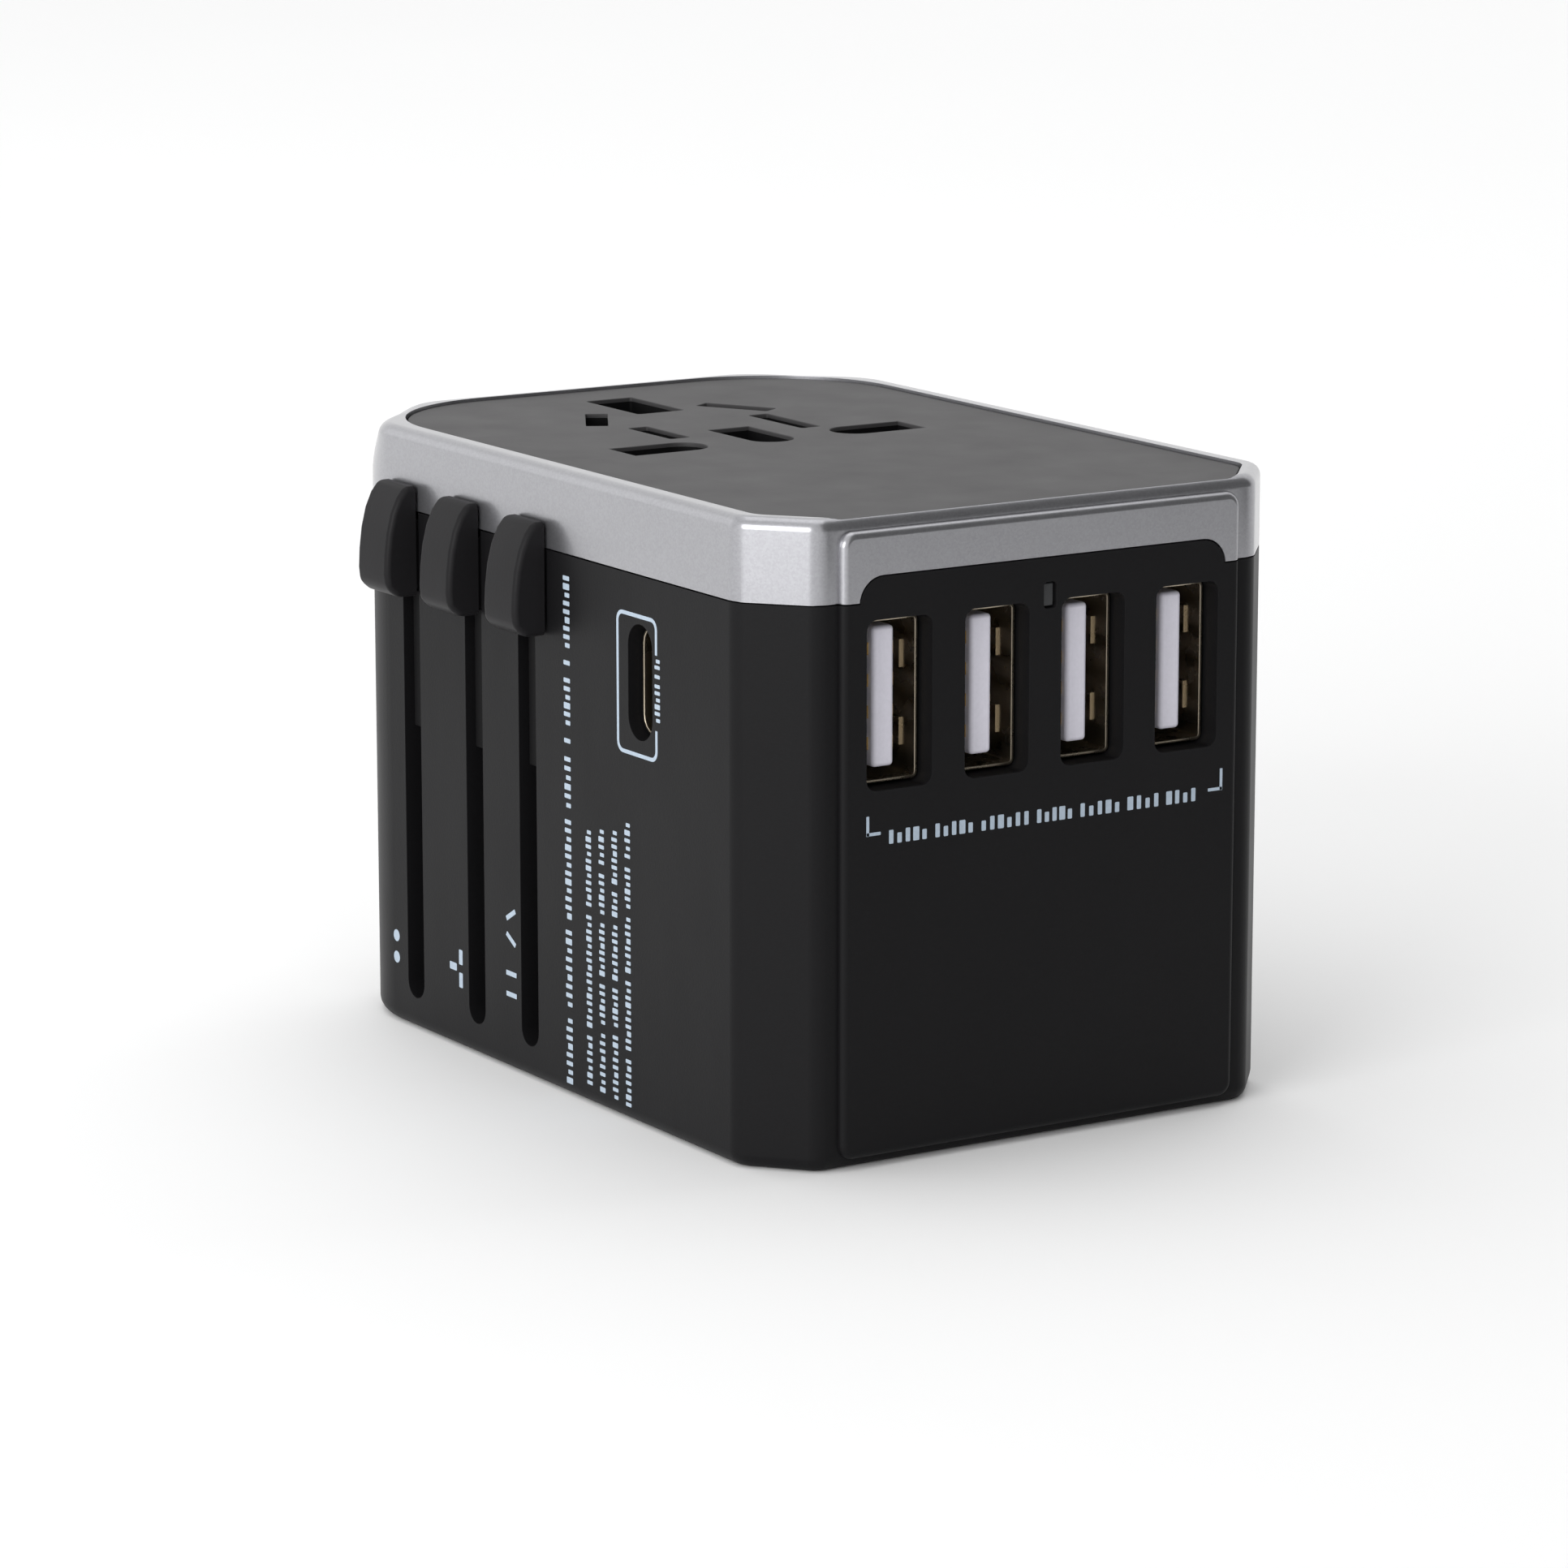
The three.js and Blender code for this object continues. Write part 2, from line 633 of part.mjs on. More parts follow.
// side is -1 for live and 1 for neutral: a bar along X, spring fingers under each slot, two legs down.
function contactBar(side) {
  const bottom = deckTop + gap;
  const top = coverBottom - gap;
  const barInner = coreY + side * contactOut;
  const barOuter = coreY + side * (contactOut + contactSheet);
  const y0 = Math.min(barInner, barOuter);
  const y1 = Math.max(barInner, barOuter);
  const left = socketLineX - tiltedSlot.offset - 3;
  const right = legX[1] + contactSheet / 2;
  const strip = block(left, right, y0, y1, bottom, bottom + 5);
  const fingerInner = coreY + side * (mainsSlotInner + 1);
  const mains = [-1, 1].map((hand) => {
    const x = socketLineX + hand * (mainsSlotWidth / 2 + contactSheet);
    const near = Math.min(fingerInner, barOuter);
    const far = Math.max(fingerInner, barOuter);
    return block(x - contactSheet / 2, x + contactSheet / 2, near, far, bottom, top);
  });
  const flat = [flatSlot, tiltedSlot].map(({ offset, spread, width }) => {
    const x = socketLineX - offset;
    const leafInner = coreY + side * (spread - width / 2 - gap - contactSheet);
    const shelf = block(x - 1.5, x + 1.5, Math.min(leafInner, barOuter), Math.max(leafInner, barOuter), bottom, bottom + contactSheet);
    const leafOuter = leafInner + side * contactSheet;
    const leaf = block(x - 1.5, x + 1.5, Math.min(leafInner, leafOuter), Math.max(leafInner, leafOuter), bottom, top);
    return join(shelf, leaf);
  });
  return join(strip, ...mains, ...flat, ...legX.map((x) => contactLeg(side, x, 0)));
}

// ---- Sliding plugs -----------------------------------------------------------------------------------

// The arm that carries a plug's carriage to its slot: a flange behind the wall and a rib in the slot.
function sliderArm(x, reachY) {
  const flangeOut = wallInside + gap;
  const flange = block(
    x - flangeWidth / 2,
    x + flangeWidth / 2,
    flangeOut,
    flangeOut + flangeThickness,
    carriageBottom,
    sleeveTop - 2 * gap,
  );
  const rib = block(
    x - stemWidth / 2,
    x + stemWidth / 2,
    wallFace + ribRecess,
    flangeOut + gap,
    carriageBottom + ribLift,
    knobBottom + gap,
  );
  const link = block(x - flangeWidth / 2, x + flangeWidth / 2, flangeOut, reachY + 1, carriageBottom, carriageTop);
  return join(flange, rib, link);
}

function carriageBlock(x0, x1, y0, y1) {
  return block(x0, x1, y0, y1, carriageBottom, carriageTop);
}

function euCarriage() {
  const end = euPin.spread + euPin.radius + 1.2;
  const body = carriageBlock(euX - euHalf, euX + euHalf, coreY - end, coreY + end);
  const holes = [-1, 1].map((side) =>
    rod(euX, coreY + side * euPin.spread, euPin.radius + pinClearance, 0, bodyHeight),
  );
  return cut(join(body, sliderArm(euX, coreY - end)), ...holes);
}

function ukCarriage() {
  const end = ukBlade.spread + ukBlade.across / 2 + 0.9;
  const earthX = ukX + ukEarth.offset;
  const armHalf = ukEarth.along / 2 + 0.95;
  const clear = 2 * pinClearance;
  const body = join(
    carriageBlock(ukX - ukHalf, ukX + ukHalf, coreY - end, coreY + ukSpineOuter),
    carriageBlock(ukX - ukHalf, earthX + armHalf, coreY + ukSpineInner, coreY + ukSpineOuter),
    carriageBlock(earthX - armHalf, earthX + armHalf, coreY - ukEarth.across / 2 - 1.2, coreY + ukSpineOuter),
    sliderArm(ukX, coreY - end),
  );
  const holes = [-1, 1].map((side) =>
    prism(bar(ukX, coreY + side * ukBlade.spread, ukBlade.along + clear, ukBlade.across + clear), 0, bodyHeight),
  );
  const earthHole = prism(bar(earthX, coreY, ukEarth.along + clear, ukEarth.across + clear), 0, bodyHeight);
  return cut(body, ...holes, earthHole);
}

function usCarriage() {
  const end = usBlade.spread + usBlade.discRadius + 1;
  const body = carriageBlock(usX - usHalf, usX + usHalf, coreY - end, coreY + end);
  const holes = [-1, 1].map((side) =>
    rod(usX, coreY + side * usBlade.spread, usBlade.discRadius + pinClearance, 0, bodyHeight, 28),
  );
  return cut(join(body, sliderArm(usX, coreY - end)), ...holes);
}

function tipAtRest(reach) {
  return travel - reach;
}

function euPinSolid(side) {
  const tip = tipAtRest(euPin.reach);
  const r = euPin.radius;
  const head = carriageTop + 1.2;
  const dome = [0, 0.3, 0.6, 0.85, 1].map((share) => [r * share, tip + r * (1 - Math.sqrt(1 - share * share))]);
  const profile = [...dome, [r, carriageTop + gap], [r + 0.7, carriageTop + gap], [r + 0.7, head], [0, head]];
  return turned(profile, euX, coreY + side * euPin.spread, 16);
}

// A flat blade with a bevelled tip and a wider head that rests on the carriage.
function flatBlade(x, y, along, across, reach, headGrow) {
  const tip = tipAtRest(reach);
  const shaft = prism(bar(x, y, along, across), tip, carriageTop + 1.2, Math.min(along, across) / 5, 1);
  const head = prism(bar(x, y, along + headGrow, across + headGrow), carriageTop + gap, carriageTop + 1.2);
  return join(shaft, head);
}

function usBladeSolid(side) {
  const y = coreY + side * usBlade.spread;
  const tip = tipAtRest(usBlade.reach);
  const shaft = prism(bar(usX, y, usBlade.along, usBlade.across), tip, carriageTop + 0.8, 0.3, 1);
  return join(shaft, rod(usX, y, usBlade.discRadius, carriageBottom + 0.3, carriageTop - 0.3, 28));
}

// Thumb knob: bowed outwards, fullest below its middle, with a boss that enters the slot.
function knob({ x, knobShift }) {
  const out = (stand, rise) => [stand, knobBottom + rise];
  const shape = new THREE.Shape();
  shape.moveTo(...out(gap, 0));
  shape.lineTo(...out(knobStand - 1.1, 0));
  shape.quadraticCurveTo(...out(knobStand - 0.1, 0.2), ...out(knobStand, 1.6));
  shape.quadraticCurveTo(...out(knobStand, 5.6), ...out(knobStand - 1.3, knobHeight - 0.8));
  shape.quadraticCurveTo(...out(knobStand - 1.5, knobHeight), ...out(knobStand - 2.1, knobHeight));
  shape.lineTo(...out(gap, knobHeight));
  shape.closePath();
  const turn = new THREE.Matrix4().makeBasis(
    new THREE.Vector3(0, -1, 0),
    new THREE.Vector3(0, 0, 1),
    new THREE.Vector3(-1, 0, 0),
  );
  const right = x + knobShift + knobWidth / 2;
  const cap = solidOf(extruded(shape, knobWidth, 0.3, 2).applyMatrix4(turn).translate(right, wallFace, 0));
  const boss = block(
    x - stemWidth / 2,
    x + stemWidth / 2,
    wallFace - gap - 0.5,
    wallInside,
    knobBottom + 2 * gap,
    sleeveTop - 2 * gap,
  );
  return join(cap, boss);
}

// ---- USB ports, LED and charger ----------------------------------------------------------------------

function usbShell(y) {
  const { width, height, radius, sheet, depth, setback } = shellSize;
  const front = panelFace - setback;
  const rectangle = (inset, round) =>
    roundedRectangle(
      y - width / 2 + inset,
      y + width / 2 - inset,
      portZ - height / 2 + inset,
      portZ + height / 2 - inset,
      round,
    );
  const outside = prismAlongX(rectangle(0, radius), front - depth, front);
  return cut(outside, prismAlongX(rectangle(sheet, radius - 0.2), front - depth + sheet, front + 1));
}

function usbTongue(y) {
  const { thickness, height, inset, proud, lift } = tongueSize;
  const near = y - shellSize.width / 2 + shellSize.sheet + inset;
  const front = panelFace - shellSize.setback + proud;
  const back = panelFace - shellSize.setback - shellSize.depth + shellSize.sheet + gap;
  const middle = portZ + lift;
  return block(back, front, near, near + thickness, middle - height / 2, middle + height / 2);
}

function typeCShellSolid() {
  const { width, height, sheet, depth, setback } = typeCShell;
  const front = wallFace + setback;
  const oval = (inset) =>
    roundedRectangle(
      typeCX - width / 2 + inset,
      typeCX + width / 2 - inset,
      typeCZ - height / 2 + inset,
      typeCZ + height / 2 - inset,
      width / 2 - inset - 0.05,
    );
  const outside = prismAlongY(oval(0), front, front + depth);
  return cut(outside, prismAlongY(oval(sheet), front - 1, front + depth - sheet));
}

function typeCTongueSolid() {
  const front = wallFace + typeCShell.setback + typeCTongue.setback;
  const back = wallFace + typeCShell.setback + typeCShell.depth - typeCShell.sheet - gap;
  const { width, height } = typeCTongue;
  return block(typeCX - width / 2, typeCX + width / 2, front, back, typeCZ - height / 2, typeCZ + height / 2);
}

function typeCBoard() {
  const y = wallFace + typeCShell.setback + typeCShell.depth + gap;
  const z1 = typeCZ + typeCShell.height / 2 + 2.5;
  return block(typeCX - 4, boardBack - gap, y, y + 1.2, deckTop + gap, z1);
}

function ledPipe() {
  const z = bodyHeight - ledWindow.topDrop;
  const halfY = ledWindow.width / 2 - 0.1;
  const halfZ = ledWindow.height / 2 - 0.1;
  return block(
    bodyRight - wall - 6,
    panelFace - 0.25,
    ledWindow.y - halfY,
    ledWindow.y + halfY,
    z - halfZ,
    z + halfZ,
  );
}

function chargerBoard() {
  const half = halfWidth - wall - 3.4;
  return block(boardBack, boardFront, -half, half, baseThickness + 1.2, coverBottom - gap);
}

const transformer = { width: 15, height: 13, depth: 12.5, y: -1, bottom: 3 };
const capacitor = { radius: 4, length: 12, y: 12, firstZ: 7.5, pitch: 9 };
const fuse = { radius: 2.6, length: 20, y: -12.5, bottom: 2 };

function transformerSolid() {
  const { width, height, depth, y, bottom } = transformer;
  const z0 = baseThickness + bottom;
  const x0 = boardFront + gap;
  const core = block(x0, x0 + depth, y - width / 2, y + width / 2, z0 + 2, z0 + height - 2);
  const bobbin = block(x0, x0 + depth - 2, y - width / 2 + 2.5, y + width / 2 - 2.5, z0, z0 + height);
  return join(core, bobbin);
}

function capacitorSolid(index) {
  const { radius, length, y, firstZ, pitch } = capacitor;
  const geometry = new THREE.CylinderGeometry(radius, radius, length, 20);
  geometry.rotateZ(Math.PI / 2);
  geometry.translate(boardFront + gap + length / 2, y, baseThickness + firstZ + index * pitch);
  return solidOf(geometry);
}

function fuseX() {
  return boardFront + gap + fuse.radius + 1.4;
}

function fuseSolid() {
  const z0 = baseThickness + fuse.bottom;
  const z1 = z0 + fuse.length;
  const glass = rod(fuseX(), fuse.y, fuse.radius - 0.3, z0 + 1, z1 - 1);
  const caps = [
    [z0, z0 + 5],
    [z1 - 5, z1],
  ].map(([low, high]) => rod(fuseX(), fuse.y, fuse.radius, low, high));
  return join(glass, ...caps);
}

function fuseClip(index) {
  const low = baseThickness + fuse.bottom + (index ? fuse.length - 4.2 : 1.2);
  const half = fuse.radius + 0.7;
  const body = block(boardFront + gap, fuseX() + 1.6, fuse.y - half, fuse.y + half, low, low + 3);
  const bore = rod(fuseX(), fuse.y, fuse.radius + 0.15, low - 1, low + 4);
  const mouth = block(fuseX(), fuseX() + 5, fuse.y - 2, fuse.y + 2, low - 1, low + 4);
  return cut(body, bore, mouth);
}

// Countersunk base screw with a cross recess.
function baseScrew({ x, y }) {
  const { shankRadius, headRadius, headHeight, sink, length } = screw;
  const top = sink + headHeight + length - 1.5;
  const profile = [
    [0, sink],
    [headRadius, sink],
    [headRadius, sink + headHeight],
    [shankRadius, sink + headHeight],
    [shankRadius, top - 1],
    [0, top],
  ];
  const arm = 1.5;
  const half = 0.3;
  const depth = sink + 0.6;
  const cross = join(
    block(x - arm, x + arm, y - half, y + half, -1, depth),
    block(x - half, x + half, y - arm, y + arm, -1, depth),
  );
  return cut(turned(profile, x, y, 16), cross);
}

// ---- Materials and the assembly ----------------------------------------------------------------------

function finish(color, roughness, metalness = 0) {
  return () => new THREE.MeshStandardMaterial({ color, roughness, metalness });
}

const blackPlastic = finish(0x1f1f21, 0.45);
const knobPlastic = finish(0x232225, 0.4);
const silverPaint = finish(0xa9a9ae, 0.35, 0.6);
const greyPlastic = finish(0x6a696b, 0.6);
const innerPlastic = finish(0x2c2c2e, 0.7);
const whiteNylon = finish(0xd8d6de, 0.5);
const steel = finish(0xb9b4aa, 0.3, 1);
const brass = finish(0xc8a24a, 0.35, 1);
const nickel = finish(0xc9c7c2, 0.25, 1);
const board = finish(0x1f5b3a, 0.5);
const clear = finish(0xdfe8ee, 0.2);
const winding = finish(0xd9a520, 0.5);
const capSleeve = finish(0x1b2a4a, 0.4);

const group = new THREE.Group();

function addPiece(name, solid, material) {
  const mesh = new THREE.Mesh(geometryOf(solid), material());
  mesh.name = name;
  group.add(mesh);
}

addPiece("housing", sleeve(), blackPlastic);
addPiece("bezel", bezel(), silverPaint);
addPiece("socket_plate", socketPlate(), greyPlastic);
addPiece("base_plate", basePlate(), blackPlastic);
addPiece("chassis", chassis(), innerPlastic);
addPiece("contact_cover", contactCover(), innerPlastic);
addPiece("shutter", shutter(), whiteNylon);
addPiece("shutter_spring", shutterSpring(), steel);
addPiece("live_contact", contactBar(-1), brass);
addPiece("neutral_contact", contactBar(1), brass);

addPiece("eu_carriage", euCarriage(), innerPlastic);
addPiece("uk_carriage", ukCarriage(), innerPlastic);
addPiece("us_carriage", usCarriage(), innerPlastic);
for (const slider of sliders) {
  addPiece(slider.name + "_knob", knob(slider), knobPlastic);
}
for (const side of [-1, 1]) {
  const number = side < 0 ? 1 : 2;
  const ukY = coreY + side * ukBlade.spread;
  addPiece("eu_pin_" + number, euPinSolid(side), nickel);
  addPiece("uk_blade_" + number, flatBlade(ukX, ukY, ukBlade.along, ukBlade.across, ukBlade.reach, 1), nickel);
  addPiece("us_blade_" + number, usBladeSolid(side), nickel);
}
addPiece(
  "uk_earth_pin",
  flatBlade(ukX + ukEarth.offset, coreY, ukEarth.along, ukEarth.across, ukEarth.reach, 1),
  innerPlastic,
);

portCentres().forEach((y, index) => {
  addPiece("usb_a_shell_" + (index + 1), usbShell(y), steel);
  addPiece("usb_a_tongue_" + (index + 1), usbTongue(y), whiteNylon);
});
addPiece("usb_c_shell", typeCShellSolid(), steel);
addPiece("usb_c_tongue", typeCTongueSolid(), innerPlastic);
addPiece("usb_c_board", typeCBoard(), board);
addPiece("led_light_pipe", ledPipe(), clear);
addPiece("charger_board", chargerBoard(), board);
addPiece("transformer", transformerSolid(), winding);
for (const index of [0, 1]) {
  addPiece("capacitor_" + (index + 1), capacitorSolid(index), capSleeve);
  addPiece("fuse_clip_" + (index + 1), fuseClip(index), brass);
}
addPiece("fuse", fuseSolid(), nickel);
posts.forEach((post, index) => addPiece("screw_" + (index + 1), baseScrew(post), steel));

export default group;
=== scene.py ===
"""Universal travel adapter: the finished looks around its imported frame.

Every length is in metres. Places come from the frame's boxes, and the sizes that a user may change are
properties of the scene, shown in the 3D view's sidebar under "Adapter".
"""

import json
import math

import bmesh
import bpy
from bpy.props import FloatProperty, FloatVectorProperty, PointerProperty
from mathutils import Matrix, Vector


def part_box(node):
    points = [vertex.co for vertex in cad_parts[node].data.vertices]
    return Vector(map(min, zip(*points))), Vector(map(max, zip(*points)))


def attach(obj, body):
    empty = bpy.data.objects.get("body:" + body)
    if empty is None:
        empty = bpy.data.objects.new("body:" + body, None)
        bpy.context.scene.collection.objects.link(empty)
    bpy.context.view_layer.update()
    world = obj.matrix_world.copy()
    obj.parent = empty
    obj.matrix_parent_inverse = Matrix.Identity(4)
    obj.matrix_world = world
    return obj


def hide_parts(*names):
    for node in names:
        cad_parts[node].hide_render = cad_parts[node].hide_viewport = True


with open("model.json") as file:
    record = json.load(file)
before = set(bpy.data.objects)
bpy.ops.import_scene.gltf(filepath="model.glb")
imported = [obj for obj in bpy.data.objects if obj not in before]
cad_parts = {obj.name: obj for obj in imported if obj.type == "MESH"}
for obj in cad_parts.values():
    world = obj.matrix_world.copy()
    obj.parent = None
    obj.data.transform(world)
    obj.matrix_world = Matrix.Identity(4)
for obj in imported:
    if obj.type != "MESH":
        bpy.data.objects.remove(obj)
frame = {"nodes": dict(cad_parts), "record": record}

bl_info = {
    "name": "Travel Adapter Maker",
    "version": (1, 0, 0),
    "blender": (4, 5, 0),
    "location": "View3D > Sidebar > Adapter",
    "description": "Builds a universal travel adapter piece by piece around its frame",
    "category": "Object",
}

MM = 0.001
TOUCH = 0.01 * MM  # two places nearer than this are the same
QUARTER_TURN = math.radians(90)
TILT = math.radians(30)
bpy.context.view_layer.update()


# ---- Sizes and colours a user may change ---------------------------------------------------------------


def length(name, description, millimetres):
    """A length property, given in millimetres."""
    return FloatProperty(
        name=name, description=description, default=millimetres * MM, min=0.0, unit="LENGTH", precision=5
    )


def colour(name, description, red, green, blue):
    """A linear colour property."""
    return FloatVectorProperty(
        name=name, description=description, default=(red, green, blue), min=0.0, max=1.0, subtype="COLOR"
    )


class BodySizes(bpy.types.PropertyGroup):
    """Sizes of the sleeve, the bezel and the socket plate."""

    wall: length("Wall", "Thickness of the moulded walls", 1.8)
    end_radius: length("End radius", "Plan radius of the two round corners", 10.9)
    cut_x: length("Corner cut X", "Length of the corner cut along the body", 5.1)
    cut_y: length("Corner cut Y", "Length of the corner cut across the body", 4.45)
    cut_round: length("Cut rounding", "How far the upright edges of the corner cuts are rounded", 0.9)
    base_round: length("Base rounding", "Rounding of the bottom edge", 1.2)
    rim_round: length("Rim rounding", "Rounding of the top edge of the bezel", 1.0)
    band: length("Band", "Height of the silver bezel", 6.7)
    seam: length("Seam", "Joint line between the sleeve and the bezel", 0.1)
    edge_break: length("Edge break", "Small rounding on the moulded edges", 0.22)
    panel_proud: length("Panel height", "How far the port panel stands out", 0.7)
    panel_half: length("Panel half width", "Half the width of the port panel", 19.0)
    panel_round: length("Panel rounding", "Rounding of the edge of the port panel", 0.6)
    panel_corner: length("Panel corner", "Corner radius of the port panel", 1.2)
    panel_bottom: length("Panel bottom", "Height of the lower edge of the port panel", 0.9)
    panel_drop: length("Panel drop", "From the top of the body down to the panel's upper edge", 1.1)
    rise_half: length("Rise half width", "Half the width of the black part inside the bezel", 17.4)
    rise_radius: length("Rise radius", "Corner radius of that part", 2.2)
    rim_side: length("Rim side", "Width of the rim beside the plate", 1.86)
    rim_left: length("Rim left", "Width of the rim at the round end", 1.3)
    rim_right: length("Rim right", "Width of the rim at the port end", 0.4)
    rim_cut: length("Rim cut", "Width of the rim at the corner cuts", 1.4)
    ledge: length("Ledge", "Width of the ledge under the plate", 3.5)
    # Below this depth the socket plate is black, which paints the shade on the walls of its openings.
    plate_grey_depth: length("Plate skin", "Thickness of the plate's grey face", 0.35)
    plate_radius: length("Plate radius", "Radius of the plate's two round corners", 12.6)
    lean: length("Lean", "How far the bezel's round corners lean in at the top", 1.8)
    lean_height: length("Lean height", "Height over which the round corners lean in", 4.8)


class SocketSizes(bpy.types.PropertyGroup):
    """Standard socket layout, measured from the line of the live and neutral openings."""

    line_x: length("Line X", "Distance of the live and neutral line behind the middle", 3.1)
    core_y: length("Core Y", "Distance of the socket's centre line towards the sliders", 1.0)
    mains_width: length("Mains width", "Width of the live and neutral openings", 4.3)
    mains_inner: length("Mains inner", "Inner end of the live and neutral openings", 6.4)
    mains_outer: length("Mains outer", "Outer end of the live and neutral openings", 14.3)
    earth_near: length("Earth near", "Near end of the earth opening", 17.4)
    earth_far: length("Earth far", "Far end of the earth opening", 26.3)
    earth_width: length("Earth width", "Width of the earth opening", 4.6)
    flat_offset: length("Flat offset", "Distance of the flat blade openings from the line", 7.5)
    flat_spread: length("Flat spread", "Distance of the flat blade openings from the centre line", 6.25)
    flat_width: length("Flat width", "Width of the flat and tilted openings", 1.9)
    live_length: length("Live length", "Length of the live flat opening", 7.0)
    neutral_length: length("Neutral length", "Length of the neutral flat opening", 8.5)
    tilted_offset: length("Tilted offset", "Distance of the tilted openings from the line", 16.5)
    tilted_spread: length("Tilted spread", "Distance of the tilted openings from the centre line", 7.0)
    tilted_length: length("Tilted length", "Length of the tilted openings", 6.9)
    tilt: FloatProperty(
        name="Tilt", description="Angle of the tilted openings", default=TILT, unit="ROTATION"
    )
    centre_far: length("Centre far", "Far end of the middle opening", 6.5)
    centre_near: length("Centre near", "How far the middle opening passes the line", 2.1)
    centre_half: length("Centre half width", "Half the width of the middle opening", 2.0)


class PortSizes(bpy.types.PropertyGroup):
    """Sizes of the slider slots, knobs, charging ports and plug pins."""

    slot_width: length("Slot width", "Width of a slider slot", 2.8)
    slot_bottom: length("Slot bottom", "Height of the lowest point of a slot", 2.85)
    window_width: length("Window width", "Width of a large port's window", 6.1)
    window_height: length("Window height", "Height of a large port's window", 13.5)
    window_radius: length("Window radius", "Corner radius of a large port's window", 0.9)
    sheet: length("Sheet", "Thickness of the port shells", 0.3)
    oval_width: length("Oval width", "Width of the small port's window", 3.7)
    oval_height: length("Oval height", "Height of the small port's window", 9.4)
    knob_round: length("Knob rounding", "Rounding of the knob's edges", 0.5)
    pin_radius: length("Pin radius", "Radius of the round pins", 2.0)
    blade_width: length("Blade width", "Width of the flat blades", 6.35)
    blade_thickness: length("Blade thickness", "Thickness of the flat blades", 1.5)
    hole_radius: length("Hole radius", "Radius of the hole in a flat blade", 1.5)
    hole_height: length("Hole height", "Height of that hole above the blade's tip", 4.2)
    turret_radius: length("Turret radius", "Radius of the disc that a flat blade turns on", 3.35)
    ink: length("Ink", "Thickness of the printing", 0.02)


class AdapterColours(bpy.types.PropertyGroup):
    """Linear colours of the finishes."""

    black: colour("Black", "Moulded black plastic", 0.0078, 0.0076, 0.0083)
    knob: colour("Knob", "Knob plastic", 0.0125, 0.0120, 0.0130)
    silver: colour("Silver", "Metallic paint of the bezel", 0.35, 0.35, 0.37)
    plate: colour("Plate", "Grey socket plate", 0.046, 0.0445, 0.046)
    tongue: colour("Tongue", "White port tongues", 0.66, 0.645, 0.72)
    shell: colour("Shell", "Tinned sheet of the port shells", 0.46, 0.40, 0.31)
    ink: colour("Ink", "Pale printing ink", 0.40, 0.48, 0.57)
    nickel: colour("Nickel", "Nickel plated pins", 0.66, 0.64, 0.60)
    brass: colour("Brass", "Brass contacts", 0.66, 0.46, 0.17)
    gold: colour("Gold", "Gold plated contact fingers", 0.78, 0.52, 0.18)
    floor: colour("Floor", "Studio floor", 0.93, 0.93, 0.93)


def body_sizes():
    return bpy.context.scene.adapter_body


def socket_sizes():
    return bpy.context.scene.adapter_socket


def port_sizes():
    return bpy.context.scene.adapter_ports


def colours():
    return bpy.context.scene.adapter_colours


# ---- Shader maths --------------------------------------------------------------------------------------


class Value:
    """An output socket whose arithmetic adds Math nodes."""

    def __init__(self, surface, output):
        self.surface = surface
        self.output = output

    def _math(self, operation, first, second):
        return self.surface.node("ShaderNodeMath", {"operation": operation}, {0: first, 1: second})

    def __add__(self, other):
        return self._math("ADD", self, other)

    def __radd__(self, other):
        return self._math("ADD", other, self)

    def __mul__(self, other):
        return self._math("MULTIPLY", self, other)

    def __rmul__(self, other):
        return self._math("MULTIPLY", other, self)


class Surface:
    """A material under construction: one Principled shader and the nodes that feed it."""

    def __init__(self, name, **constants):
        self.material = bpy.data.materials.new(name)
        self.material.use_nodes = True
        self.tree = self.material.node_tree
        self.shader = self.tree.nodes["Principled BSDF"]
        for socket, value in constants.items():
            self.shader.inputs[socket.replace("_", " ").title().replace("Ior", "IOR")].default_value = value

    def node(self, kind, settings=None, inputs=None, output=0):
        """Adds a node: its settings first, then the values or links of its sockets."""
        made = self.tree.nodes.new(kind)
        for name, value in (settings or {}).items():
            setattr(made, name, value)
        for socket, value in (inputs or {}).items():
            if isinstance(value, Value):
                self.tree.links.new(value.output, made.inputs[socket])
            else:
                made.inputs[socket].default_value = value
        return Value(self, made.outputs[output])

    def coordinates(self, stretch=(1.0, 1.0, 1.0)):
        place = self.node("ShaderNodeTexCoord", output="Object")
        if stretch == (1.0, 1.0, 1.0):
            return place
        return self.node("ShaderNodeMapping", {}, {"Vector": place, "Scale": stretch})

    def noise(self, grain, detail=2.0, stretch=(1.0, 1.0, 1.0)):
        """Noise from 0 to 1 whose lumps are about grain metres wide."""
        place = self.coordinates(stretch)
        return self.node("ShaderNodeTexNoise", {}, {"Vector": place, "Scale": 1.0 / grain, "Detail": detail})

    def cells(self, grain):
        """A random number from 0 to 1 for each cell, about grain metres wide."""
        tint = self.node("ShaderNodeTexVoronoi", {}, {"Vector": self.coordinates(), "Scale": 1.0 / grain}, 1)
        return self.node("ShaderNodeSeparateColor", {}, {"Color": tint})

    def shades(self, base, dark, light, factor):
        """The base colour, darker where factor is 0 and lighter where it is 1."""
        low = (*(c * dark for c in base), 1.0)
        high = (*(min(1.0, c * light) for c in base), 1.0)
        settings = {"data_type": "RGBA"}
        return self.node("ShaderNodeMix", settings, {"Factor": factor, 6: low, 7: high}, 2)

    def feed(self, socket, value):
        self.tree.links.new(value.output, self.shader.inputs[socket])

    def bump(self, height, distance, strength=1.0):
        inputs = {"Height": height, "Distance": distance, "Strength": strength}
        self.feed("Normal", self.node("ShaderNodeBump", {}, inputs))


